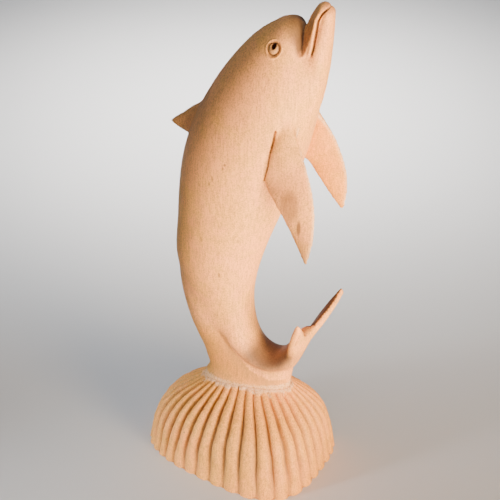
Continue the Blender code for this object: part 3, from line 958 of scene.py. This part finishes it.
def flute_tree():
    tree = bpy.data.node_groups.new("cut flutes", "GeometryNodeTree")
    new = tree.interface.new_socket
    new("Geometry", in_out="INPUT", socket_type="NodeSocketGeometry")
    for name in FLUTE_SETTINGS:
        if name != "Wood":
            new(name, in_out="INPUT", socket_type="NodeSocketFloat")
    new("Wood", in_out="INPUT", socket_type="NodeSocketMaterial")
    new("Geometry", in_out="OUTPUT", socket_type="NodeSocketGeometry")
    given = tree.nodes.new("NodeGroupInput").outputs
    kept = {}
    for name in ("around", "down", "deep"):
        kept[name] = add(tree, "GeometryNodeInputNamedAttribute", {"Name": name}).outputs[0]
    place = tree.nodes.new("GeometryNodeInputPosition").outputs[0]
    normal = tree.nodes.new("GeometryNodeInputNormal").outputs[0]
    rough = noise(tree, place, COLLAR_SCALE, 3.0, given["Seed"])

    # How far across its flute a point lies, with the wander of the gouge.
    wander = calc(tree, "SUBTRACT", noise(tree, place, WANDER_SCALE, 1.0, given["Seed"]), 0.5)
    phase = calc(tree, "MULTIPLY", kept["around"], given["Flutes"])
    phase = calc(tree, "ADD", phase, calc(tree, "MULTIPLY", wander, given["Wander"]))
    off_ridge = calc(tree, "ABSOLUTE", calc(tree, "SUBTRACT", calc(tree, "FRACT", phase), 0.5))
    groove = calc(tree, "POWER", calc(tree, "MULTIPLY", off_ridge, 2.0), given["Roundness"])
    groove = calc(tree, "MULTIPLY", groove, kept["deep"])

    # A ragged collar of torn fibre covers the first few millimetres below the seam.
    ragged = calc(tree, "MULTIPLY", calc(tree, "SUBTRACT", rough, COLLAR_FROM), given["Seam Width"])
    below = calc(tree, "SUBTRACT", kept["down"], ragged)
    seam = calc(tree, "SUBTRACT", 1.0, smooth_step(tree, below, 0.0, COLLAR_EDGE))
    seam = calc(tree, "MULTIPLY", seam, calc(tree, "GREATER_THAN", kept["down"], ON_LID / 2))
    above = calc(tree, "SUBTRACT", rough, COLLAR_RAISED)
    collar = calc(tree, "MULTIPLY", above, given["Seam Rise"])

    # The groove and the steps are cut, the collar is raised.
    steps = calc(tree, "SUBTRACT", noise(tree, place, STEP_SCALE, 2.0, given["Seed"]), 0.5)
    steps = calc(tree, "MULTIPLY", steps, given["Tool Steps"])
    steps = calc(tree, "MULTIPLY", steps, kept["deep"])
    cut = calc(tree, "ADD", calc(tree, "MULTIPLY", groove, given["Depth"]), steps)
    left = calc(tree, "SUBTRACT", 1.0, calc(tree, "MULTIPLY", seam, COLLAR_FILLS))
    cut = calc(tree, "MULTIPLY", cut, left)
    lift = calc(tree, "SUBTRACT", calc(tree, "MULTIPLY", collar, seam), cut)
    offset = add(tree, "ShaderNodeVectorMath", {0: normal, "Scale": lift}, operation="SCALE")

    shape = given["Geometry"]
    for name, value in (("groove", groove), ("torn", seam)):
        inputs = {"Geometry": shape, "Name": name, "Value": value}
        shape = add(tree, "GeometryNodeStoreNamedAttribute", inputs).outputs[0]
    moved = add(tree, "GeometryNodeSetPosition", {"Geometry": shape, "Offset": offset.outputs[0]})
    real = add(tree, "GeometryNodeRealizeInstances", {"Geometry": moved.outputs[0]})
    inputs = {"Geometry": real.outputs[0], "Material": given["Wood"]}
    painted = add(tree, "GeometryNodeSetMaterial", inputs)
    add(tree, "NodeGroupOutput", {"Geometry": painted.outputs[0]})
    return tree


wood_base = bpy.data.materials.new("gouged_wood")
wood_base.use_nodes = True
wood_dolphin = bpy.data.materials.new("sanded_wood")
wood_dolphin.use_nodes = True
FLUTE_SETTINGS = {
    "Flutes": float(FLUTE_COUNT),
    "Depth": 0.0032,
    "Roundness": 2.8,
    "Wander": 0.8,
    "Tool Steps": 0.0008,
    "Seam Width": 0.16,
    "Seam Rise": 0.0006,
    "Seed": 3.0,
    "Wood": wood_base,
}
cutter = base.modifiers.new("flutes", "NODES")
cutter.node_group = flute_tree()
for item in cutter.node_group.interface.items_tree:
    if item.in_out == "INPUT" and item.name in FLUTE_SETTINGS:
        cutter[item.identifier] = FLUTE_SETTINGS[item.name]
bake(base)
places = read_points(base.data)
places[:, 2] = np.maximum(places[:, 2], 0)
write_points(base.data, places)
print("base:", len(base.data.polygons), "faces,", FLUTE_COUNT, "flutes")

# %% [markdown]
# ## Wood
# The wood is pale and nearly even, and that makes it hard: a flat colour looks like plastic at
# once. Four things keep it wood. Growth rings run up the block as very faint bands. Fine fibre
# streaks and short dark pores follow the grain. Slow blotches drift between pink and straw. And
# here and there is a chance mark, such as a stain. Each is a node group that puts out values
# only, and both woods, the sanded one and the gouged one, place the same groups with their own
# amounts.

# %% Node groups of the wood
FROM_PITH = (0.05, 0.09, 0)  # added to a place in metres, it counts that place from the pith
RING_STRETCH = 0.04  # a ring changes this little along the grain
RING_BEND, BEND_SCALE, BEND_STRETCH = 0.03, 14.0, 0.25
RING_EDGE = 2.5  # more narrows the dark side of a ring
FIBRE_SCALE, FIBRE_STRETCH = 1300.0, 0.08
PORE_SCALE, PORE_STRETCH = 900.0, 0.22
PORE_PATCHES = 700.0  # pores show where a noise of this scale is high
SPECKLE_SCALE = 1500.0
SMALL_BLOTCHES = 5.0  # times finer than the broad ones
MARK_CORE = 0.4  # a mark is full out to this share of its radius


def new_group(name, inputs, outputs):
    """A shader node group with float inputs and outputs, and a Coordinates input."""
    tree = bpy.data.node_groups.new(name, "ShaderNodeTree")
    tree.interface.new_socket("Coordinates", in_out="INPUT", socket_type="NodeSocketVector")
    for socket in inputs:
        tree.interface.new_socket(socket, in_out="INPUT", socket_type="NodeSocketFloat")
    for socket in outputs:
        tree.interface.new_socket(socket, in_out="OUTPUT", socket_type="NodeSocketFloat")
    return tree, tree.nodes.new("NodeGroupInput").outputs, tree.nodes.new("NodeGroupOutput").inputs


def stretched(tree, vector, stretch, place=(0, 0, 0)):
    """Coordinates squeezed along the grain, which runs up the block, and moved."""
    inputs = {"Vector": vector, "Location": place, "Scale": (1, 1, stretch)}
    return add(tree, "ShaderNodeMapping", inputs).outputs[0]


def growth_rings():
    """Bands about a pith that lies beside the block, bent by a slow noise."""
    tree, given, out = new_group("growth rings", ("Width",), ("Rings",))
    slow = noise(tree, stretched(tree, given["Coordinates"], BEND_STRETCH), BEND_SCALE, 2.0, 5.0)
    bent = calc(tree, "MULTIPLY", calc(tree, "SUBTRACT", slow, 0.5), RING_BEND)
    from_pith = stretched(tree, given["Coordinates"], RING_STRETCH, FROM_PITH)
    far = add(tree, "ShaderNodeVectorMath", {0: from_pith}, operation="LENGTH").outputs["Value"]
    phase = calc(tree, "DIVIDE", calc(tree, "ADD", far, bent), given["Width"])
    tree.links.new(calc(tree, "POWER", calc(tree, "FRACT", phase), RING_EDGE), out["Rings"])
    return tree


def fibres_and_pores():
    """Fine streaks along the grain, short open pores between them, and an even speckle."""
    tree, given, out = new_group("fibres and pores", ("Pore Size",), ("Fibres", "Pores", "Speckle"))
    long_streaks = stretched(tree, given["Coordinates"], FIBRE_STRETCH)
    tree.links.new(noise(tree, long_streaks, FIBRE_SCALE, 3.0, 1.0), out["Fibres"])
    long_cells = stretched(tree, given["Coordinates"], PORE_STRETCH)
    cells = add(tree, "ShaderNodeTexVoronoi", {"Vector": long_cells, "Scale": PORE_SCALE})
    edge = smooth_step(tree, cells.outputs["Distance"], 0.0, given["Pore Size"])
    patches = noise(tree, given["Coordinates"], PORE_PATCHES, 0.0, 9.0)
    rare = calc(tree, "GREATER_THAN", patches, 0.5)
    tree.links.new(calc(tree, "MULTIPLY", calc(tree, "SUBTRACT", 1.0, edge), rare), out["Pores"])
    tree.links.new(noise(tree, given["Coordinates"], SPECKLE_SCALE, 2.0, 2.0), out["Speckle"])
    return tree


def blotches():
    """Slow drifts of tone, one broad and one small."""
    tree, given, out = new_group("blotches", ("Scale",), ("Broad", "Small"))
    tree.links.new(noise(tree, given["Coordinates"], given["Scale"], 2.0, 7.0), out["Broad"])
    finer_scale = calc(tree, "MULTIPLY", given["Scale"], SMALL_BLOTCHES)
    tree.links.new(noise(tree, given["Coordinates"], finer_scale, 3.0, 8.0), out["Small"])
    return tree


def mark():
    """A soft spot round one place, drawn out along the grain."""
    tree, given, out = new_group("mark", ("Radius", "Length"), ("Mask",))
    tree.interface.new_socket("Place", in_out="INPUT", socket_type="NodeSocketVector")
    inputs = {0: given["Coordinates"], 1: given["Place"]}
    off = add(tree, "ShaderNodeVectorMath", inputs, operation="SUBTRACT").outputs[0]
    parts = add(tree, "ShaderNodeSeparateXYZ", {0: off}).outputs
    inputs = {0: parts[0], 1: parts[1], 2: calc(tree, "DIVIDE", parts[2], given["Length"])}
    short = add(tree, "ShaderNodeCombineXYZ", inputs).outputs[0]
    far = add(tree, "ShaderNodeVectorMath", {0: short}, operation="LENGTH").outputs["Value"]
    near = calc(tree, "MULTIPLY", given["Radius"], MARK_CORE)
    edge = smooth_step(tree, far, near, given["Radius"])
    tree.links.new(calc(tree, "SUBTRACT", 1.0, edge), out["Mask"])
    return tree


RINGS, FIBRES, BLOTCHES, MARK = growth_rings(), fibres_and_pores(), blotches(), mark()
print("node groups:", [group.name for group in bpy.data.node_groups])

# %% [markdown]
# ## Colours and chance marks
# The wood has two tones of its own and several browns, one for each cause: a clean cut, partly
# darkened as painted shade; a groove that holds dust, also darkened as painted shade; deep painted
# shade; a pore; and a burnt pupil. A pale tone serves for torn fibre and for a painted highlight.
# The marks are listed by place, as a restorer would list them, because chance marks follow no rule
# that noise could give.

# %% Colours and marks
STRAW = (0.90, 0.42, 0.105, 1.0)
PINK = (0.90, 0.38, 0.13, 1.0)
GRAIN_TINT = (1.1, 1.15, 0.95)  # how much the fine grain changes red, green and blue
WARM_TINT = (1.0, 0.90, 0.42)  # the base, the web and the far flipper are a warmer wood
# the pale of torn fibre, also used for a painted highlight on the flippers' front edges
TORN_AND_HIGHLIGHT_PALE = (0.90, 0.60, 0.38, 1.0)
# brown of a knife cut and of the rings; in the cut value it also stands for painted shade
CUT_BROWN = (0.36, 0.20, 0.085, 1.0)
SHADE_BROWN = (0.09, 0.055, 0.033, 1.0)
# dust in the flute grooves, and painted shade there
GROOVE_DUST_AND_SHADE = (0.24, 0.135, 0.065, 1.0)
PORE_BROWN = (0.25, 0.11, 0.04, 1.0)
PUPIL_BROWN = (0.022, 0.006, 0.004, 1.0)
# Chance marks: forward, side and up in hundredths, radius in mm, length, strength.
DOLPHIN_MARKS = [
    (13.7, -12.3, 55.6, 6.5, 1.6, 0.6),
    (16.2, -13.0, 51.0, 1.4, 3.8, 0.85),
    (-1.8, -11.5, 62.9, 0.8, 1.2, 0.8),
    (-2.3, -11.5, 61.9, 0.7, 1.6, 0.6),
    (-5.0, -11.2, 58.7, 0.7, 3.0, 0.6),
    (-5.8, -11.0, 57.2, 0.7, 2.0, 0.6),
    (-8.7, -9.1, 41.4, 0.7, 3.0, 0.6),
    (-4.9, -7.7, 31.7, 0.8, 3.0, 0.7),
]
BASE_MARKS = [
    (-12.7, -12.2, -12.5, 0.9, 1.0, 1.0),
    (-5.9, -14.6, -13.4, 1.3, 1.2, 0.5),
]
print("chance marks:", len(DOLPHIN_MARKS), "on the dolphin and", len(BASE_MARKS), "on the base")

# %% [markdown]
# ## One recipe for both woods
# The colour starts at a straw tone and is changed step by step: toward pink in the blotches, uneven
# with the grain, warmer where the block is, and darker in rings, pores, marks and cuts, where part
# of the dark is painted shade.
# The grain multiplies red, green and blue by amounts of their own, since an equal amount turned
# the shaded wood green. The small relief of fibres and pores goes into a Bump node, because it
# is thinner than any mesh.

# %% Recipe of the wood
RING_WIDTH = 0.0026
PORE_SIZE, PORE_AMOUNT = 0.22, 0.2
BLOTCH_SCALE = 28.0
SMALL_SHARE = 0.8  # how much the small blotches count beside the broad ones
PINK_FROM, PINK_TO = 0.72, 1.08  # the sum of both blotches at which pink begins and is full
RAGGED_FROM, RAGGED_TO = 0.3, 0.6  # torn fibre shows where the speckle is high
TORN_AMOUNT = 0.8
ROUGHNESS_FROM, ROUGHNESS_TO = 0.5, 0.66
GLEAM = 0.3  # a weak reflection, as of wood that was oiled once
FIBRE_HEIGHT = 0.00004


def mix(tree, factor, a, b):
    inputs = {0: factor, 6: a, 7: b}
    return add(tree, "ShaderNodeMix", inputs, data_type="RGBA").outputs[2]


def place_group(tree, source, **values):
    """A group node fed with the object's own coordinates."""
    node = add(tree, "ShaderNodeGroup", node_tree=source)
    tree.links.new(tree.nodes["Texture Coordinate"].outputs["Object"], node.inputs["Coordinates"])
    for name, value in values.items():
        node.inputs[name.replace("_", " ").title()].default_value = value
    return node.outputs


def painted(tree, name):
    """A value that was left on every point under this name."""
    return add(tree, "ShaderNodeAttribute", attribute_name=name).outputs["Fac"]


def wood(material, ring_amount, grain_amount, cut_name, cut_amount, cut_brown, marks):
    """Fill a material with the shared groups. Returns its tree, colour and shader node."""
    tree = material.node_tree
    shader = tree.nodes["Principled BSDF"]
    add(tree, "ShaderNodeTexCoord")
    rings = place_group(tree, RINGS, width=RING_WIDTH)["Rings"]
    fibres = place_group(tree, FIBRES, pore_size=PORE_SIZE)
    drift = place_group(tree, BLOTCHES, scale=BLOTCH_SCALE)
    both = calc(tree, "ADD", drift["Broad"], calc(tree, "MULTIPLY", drift["Small"], SMALL_SHARE))
    colour = mix(tree, smooth_step(tree, both, PINK_FROM, PINK_TO), STRAW, PINK)

    # The grain, finest first, each with its share.
    tone = 0.0
    for value, share in (
        (fibres["Speckle"], 1.0),
        (fibres["Fibres"], 0.7),
        (drift["Small"], 0.25),
        (drift["Broad"], 0.25),
    ):
        uneven = calc(tree, "MULTIPLY", calc(tree, "SUBTRACT", value, 0.5), grain_amount * share)
        tone = calc(tree, "ADD", tone, uneven)
    inputs = {0: GRAIN_TINT, 1: tone, 2: (1.0, 1.0, 1.0)}
    grain = add(tree, "ShaderNodeVectorMath", inputs, operation="MULTIPLY_ADD").outputs[0]
    inputs = {0: colour, 1: grain}
    colour = add(tree, "ShaderNodeVectorMath", inputs, operation="MULTIPLY").outputs[0]
    inputs = {0: colour, 1: WARM_TINT}
    warmer = add(tree, "ShaderNodeVectorMath", inputs, operation="MULTIPLY").outputs[0]
    colour = mix(tree, painted(tree, "warm"), colour, warmer)

    # Rings, pores and marks, then what the cuts leave, partly painted shade, and the pale of torn
    # fibre and of a painted highlight: each is a mask, its strength and its tone.
    layers = [(rings, ring_amount, CUT_BROWN), (fibres["Pores"], PORE_AMOUNT, PORE_BROWN)]
    for forward, side, up, radius, length, strength in marks:
        spot = place_group(tree, MARK, radius=radius / 1000, length=length)["Mask"]
        spot.node.inputs["Place"].default_value = to_metres((forward, side, up))
        layers.append((spot, strength, PORE_BROWN))
    layers.append((painted(tree, cut_name), cut_amount, cut_brown))
    # the torn value also carries a painted highlight along the flippers' front edges
    ragged = smooth_step(tree, fibres["Speckle"], RAGGED_FROM, RAGGED_TO)
    torn = calc(tree, "MULTIPLY", painted(tree, "torn"), ragged)
    layers.append((torn, TORN_AMOUNT, TORN_AND_HIGHLIGHT_PALE))
    for mask, amount, tint in layers:
        colour = mix(tree, calc(tree, "MULTIPLY", mask, amount), colour, tint)

    inputs = {"Value": drift["Small"], "To Min": ROUGHNESS_FROM, "To Max": ROUGHNESS_TO}
    roughness = add(tree, "ShaderNodeMapRange", inputs)
    tree.links.new(roughness.outputs[0], shader.inputs["Roughness"])
    relief = calc(tree, "SUBTRACT", calc(tree, "MULTIPLY", fibres["Fibres"], 0.5), fibres["Pores"])
    inputs = {"Height": relief, "Strength": 1.0, "Distance": FIBRE_HEIGHT}
    bump = add(tree, "ShaderNodeBump", inputs)
    tree.links.new(bump.outputs[0], shader.inputs["Normal"])
    shader.inputs["Specular IOR Level"].default_value = GLEAM
    return tree, colour, shader


print("recipe ready: rings", RING_WIDTH * 1000, "mm wide, fibres", FIBRE_HEIGHT * 1000, "mm high")

# %% [markdown]
# ## The gouged wood and the sanded wood
# The base keeps the recipe as it is, with dust and painted shade in its grooves. The dolphin was
# sanded, so its rings are fainter, and it gets two values more: deep painted shade, and the pupils,
# which are burnt in and lose their gleam.

# %% Two woods
tree, colour, shader = wood(
    wood_base,
    ring_amount=0.14,
    grain_amount=1.15,
    cut_name="groove",
    cut_amount=0.92,
    cut_brown=GROOVE_DUST_AND_SHADE,
    marks=BASE_MARKS,
)
tree.links.new(colour, shader.inputs["Base Color"])

tree, colour, shader = wood(
    wood_dolphin,
    ring_amount=0.10,
    grain_amount=1.2,
    # the cut value holds the brown of knife cuts and also painted shade in them and under the tail
    cut_name="cut",
    cut_amount=0.6,
    cut_brown=CUT_BROWN,
    marks=DOLPHIN_MARKS,
)
colour = mix(tree, painted(tree, "shade"), colour, SHADE_BROWN)
burnt = painted(tree, "pupil")
colour = mix(tree, burnt, colour, PUPIL_BROWN)
tree.links.new(colour, shader.inputs["Base Color"])
matt = add(tree, "ShaderNodeMapRange", {"Value": burnt, "To Min": GLEAM, "To Max": 0.0})
tree.links.new(matt.outputs[0], shader.inputs["Specular IOR Level"])
print("woods:", wood_base.name, "and", wood_dolphin.name)

# %% [markdown]
# ## Where each tone lies
# Some tones follow the form and not the block: the brown of a cut, deepened there by painted shade,
# painted shade in a hollow and on the web under the tail, a painted highlight along the flippers'
# front edges, and the warmer wood of the web. Each gets a mask, a value from 0 to 1 on every point,
# worked out from the same lines that the knife followed. Every mask is bounded on all sides. A tone
# for the inner side of the far tail lobe, say, would reach the whole back if only its direction
# were asked for, and the main view would not show that.

# %% Masks
HOLLOW = [(2.5, 9.0), (5.0, 7.2), (8.5, 7.6), (10.5, 10.2)]  # inside the bend of the tail
HOLLOW_REACH = 4.6
VALLEY_TOP, VALLEY_TOP_FADE = 95.0, 2.5
WEB_TOP, WEB_TOP_FADE = 9, 9
WEB_FRONT = 10
CREASE_REACH = 4.0
FLIPPER_LOW, FLIPPER_HIGH = 40, 78
FLIPPER_SIDE = 6
FLIPPER_END_REACH = 13
FIN_LOW, FIN_FRONT = 60, -8
LOBE_LOW, LOBE_HIGH = 13, 30
LOBE_SIDE, LOBE_BACK = 2.5, 9
LOBE_INSIDE = np.array((-0.87, 0.0, 0.5))  # the way its inner side looks
LOBE_FACING = 0.35
EYEBALL, EYEBALL_RIM = 0.7, 0.5
LID_SHADE = 0.24
MOUTH_SHADE, SLIT_SHADE, MOST_SHADE = 1.3, 0.6, 0.6
TORN_WIDTH, TORN_TOP = 0.8, 3
HIGHLIGHT_WIDTH = 0.9


def fade_above(level, start, reach):
    return fade(np.maximum(level - start, 0), reach)


def between(values, low, high):
    return (values > low) & (values < high)


normals = read_points(dolphin.data, "normal")
side = to_figure(read_points(dolphin.data))[:, 1]
figure = flank(to_figure(read_points(dolphin.data)))
forward, level = figure[:, 0], figure[:, 2]

# Painted shade in the valley, up to the tip of the forehead, weaker on the beak's side.
across, deep = across_valley(figure)
valley_shade = fade_above(across, 0.6, 1.0) * np.clip(deep, 0, 1)
valley_shade *= fade_above(level, VALLEY_TOP, VALLEY_TOP_FADE) * np.clip(normals[:, 0] * 2 + 1.2, 0.3, 1)

# The hollow above the tail, the web below it and the crease between them. The hollow gets painted
# shade, and so does the web under the tail's overhang, most beside the crease.
hollow_shade = fade(beside(figure[:, [0, 2]], HOLLOW)[0], HOLLOW_REACH)
crease_forward, crease_up = np.array([(x, z) for x, y, z in TAIL_CREASE]).T
under_tail = (level < np.interp(forward, crease_forward, crease_up)) * (forward < WEB_FRONT)
web = under_tail * fade_above(level, WEB_TOP, WEB_TOP_FADE)
crease_shade = web * fade(beside(figure, TAIL_CREASE)[0], CREASE_REACH)

# Blades stand outside the oval that the body has at their height: in full from 1.15 times its
# reach, not at all within 1.025.
middle, up, half_depth, half_width = np.array(BODY[5:]).T
from_spine = (forward - np.interp(level, up, middle)) / np.interp(level, up, half_depth)
off_body = np.hypot(from_spine, side / np.interp(level, up, half_width))
blades = np.clip(off_body * 8 - 8.2, 0, 1)
far_flipper = blades * (side > FLIPPER_SIDE) * between(level, FLIPPER_LOW, FLIPPER_HIGH)
# painted shade on the back fin, and toward the tip of the near flipper
back_fin_shade = blades * (forward < FIN_FRONT) * between(level, FIN_LOW, FLIPPER_HIGH)
from_tip = np.linalg.norm(figure - flank(np.array(FLIPPER_TIP)), axis=1)
flipper_end_shade = fade(from_tip, FLIPPER_END_REACH) * (side < 0)
# painted shade on the inner side of the far tail lobe, which looks up and away from the key light
far_lobe_shade = (side > LOBE_SIDE) * (forward > LOBE_BACK) * between(level, LOBE_LOW, LOBE_HIGH)
far_lobe_shade = far_lobe_shade * (normals @ LOBE_INSIDE > LOBE_FACING)

# The eyeball inside its lids, and painted shade on the line between the lids and in the cuts of
# mouth and slits.
eyeball = close * fade_above(in_eye, EYEBALL, EYEBALL_RIM)
lid_line_shade = close * fade(np.abs(in_eye - 1), LID_SHADE)
knife_line_shade = np.minimum(np.maximum(mouth * MOUTH_SHADE, slits * SLIT_SHADE), MOST_SHADE)

# Torn fibre stands ragged above the seam, and a painted highlight runs along the flippers' front
# edges.
above_seam = level - forward * SEAM_RISE
ragged = 0.6 + 0.4 * np.sin(forward * 5.1) * np.sin(forward * 2.3 + 1)
torn = fade_above(above_seam, 0.1, TORN_WIDTH * ragged) * (above_seam < TORN_TOP)
flipper_edge_highlight = fade(beside(figure, [(x, -y, z) for (x, y, z), rear, thick in FLIPPER])[0], HIGHLIGHT_WIDTH)
print("points off the body:", int((blades > 0.5).sum()), "of", len(figure))

# %% [markdown]
# ## Paint the masks
# Each value that the wood reads is a sum of masks, each with its strength. To change how dark the
# hollow is, for example, one number here is enough, and no mask has to be touched.

# %% Paint
BASE_WARMTH = 0.7
TONES = {
    "pupil": [(pupil, 1.0)],
    "warm": [(far_flipper, 1.0), (web, 1.0)],
    # brown of the cuts, partly painted shade; painted shade on the web under the tail and beside
    # its crease; a browner far flipper; the eye's brown ball
    "cut": [
        (lid, 0.3),
        (eyeball, 1.2),
        (mouth, 0.5),
        (slits, 0.4),
        (web, 0.5),
        (crease_shade, 0.5),
        (far_flipper, 0.3),
    ],
    "shade": [
        (valley_shade, 0.95),
        (hollow_shade, 0.85),
        (far_lobe_shade, 0.9),
        (knife_line_shade, 1.0),
        (lid_line_shade, 0.8),
        (back_fin_shade, 0.3),
        (flipper_end_shade, 0.55),
    ],
    # torn fibre at the seam, and a painted highlight along the flippers' front edges
    "torn": [(torn, 0.8), (flipper_edge_highlight, 1.0)],
}

for name, masks in TONES.items():
    keep(dolphin.data, name, np.clip(sum(mask * strength for mask, strength in masks), 0, 1))
    print(name, "is made of", len(masks), "mask(s)")
keep(base.data, "warm", np.full(len(base.data.vertices), BASE_WARMTH))
dolphin.data.materials.clear()
dolphin.data.materials.append(wood_dolphin)
for obj in (dolphin, base):
    obj.data.shade_smooth()

# %% [markdown]
# ## A lighter skin
# The even squares have done their work. Edges now collapse where the skin is nearly flat, so the
# dolphin stays light to use elsewhere, while the fine cuts keep their points. It is thinned only
# now because relaxing and cutting need even squares.

# %% Thin the skin
SKIN_TRIANGLES = 180000


def triangles(obj):
    return sum(len(face.vertices) - 2 for face in obj.data.polygons)


thinner = dolphin.modifiers.new("thinner", "DECIMATE")
thinner.ratio = SKIN_TRIANGLES / triangles(dolphin)
print("before:", triangles(dolphin))
bake(dolphin)
print("after:", triangles(dolphin))

# %% [markdown]
# ## Floor and light
# A pale floor and soft light, as in a small studio. The key light is low and to the right of the
# camera, and a card beside it throws light up from the floor. So the belly is bright, the back
# fades into brown, and what looks up, such as the hollow of the tail, lies in shade. A weak lamp
# above keeps the head and the top of the base from going black, a small one from the left draws
# the flutes there, and the last one lights the floor behind.

# %% Floor and lights
# Turns are in degrees from the right flank toward the belly, and lengths are in metres.
FLOOR_SIZE = 3.0
FLOOR_GREY = (0.65, 0.65, 0.65, 1.0)
FLOOR_ROUGHNESS = 0.9
WORLD_TINT = (0.60, 0.76, 1.0, 1.0)
WORLD_STRENGTH = 0.26
LIGHTS = {
    # name: turn, distance, height, height aimed at, size, spread, power, colour
    "key": (58, 0.8, 0.14, 0.12, 0.36, 180, 17.0, (1.0, 0.745, 0.46)),
    "card": (50, 0.3, 0.02, 3.0, 0.28, 180, 4.5, (1.0, 0.80, 0.55)),
    "top": (20, 0.4, 0.85, 0.1, 0.3, 180, 1.5, (1.0, 0.94, 0.88)),
    "low": (-45, 0.45, 0.10, -0.03, 0.12, 22, 0.07, (0.9, 0.95, 1.0)),
    "floor": (200, 0.45, 0.55, -5.0, 0.3, 60, 2.0, (1.0, 0.97, 0.94)),
}

floor_mesh = bpy.data.meshes.new("floor")
half = FLOOR_SIZE / 2
corners = [(-half, -half, 0), (half, -half, 0), (half, half, 0), (-half, half, 0)]
floor_mesh.from_pydata(corners, [], [(0, 1, 2, 3)])
floor = put("floor", floor_mesh)
paper = bpy.data.materials.new("pale_floor")
paper.use_nodes = True
surface = paper.node_tree.nodes["Principled BSDF"].inputs
surface["Base Color"].default_value = FLOOR_GREY
surface["Roughness"].default_value = FLOOR_ROUGHNESS
floor_mesh.materials.append(paper)

world = bpy.data.worlds.new("studio")
world.use_nodes = True
sky = world.node_tree.nodes["Background"].inputs
sky["Color"].default_value = WORLD_TINT
sky["Strength"].default_value = WORLD_STRENGTH
bpy.context.scene.world = world

for name, (turn, distance, height, aim, size, spread, power, tint) in LIGHTS.items():
    lamp = bpy.data.lights.new(name, "AREA")
    lamp.size, lamp.energy, lamp.color = size, power, tint
    lamp.spread = math.radians(spread)
    obj = put(name, lamp)
    away = direction(math.radians(turn), 0) * distance + Vector((0, 0, height))
    obj.location = away + Vector((VIEW_AIM.x, VIEW_AIM.y, 0))
    obj.rotation_euler = (away - Vector((0, 0, aim))).to_track_quat("Z", "Y").to_euler()
print("lights:", list(LIGHTS))

# %% [markdown]
# ## Ride on the frame's body
# Both pieces stand for the one solid of the frame and ride on its only body.

# %% Ride, replace and finish
for obj in (dolphin, base):
    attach(obj, "root")
    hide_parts(NODE)

print("triangles:", [triangles(obj) for obj in (dolphin, base)])
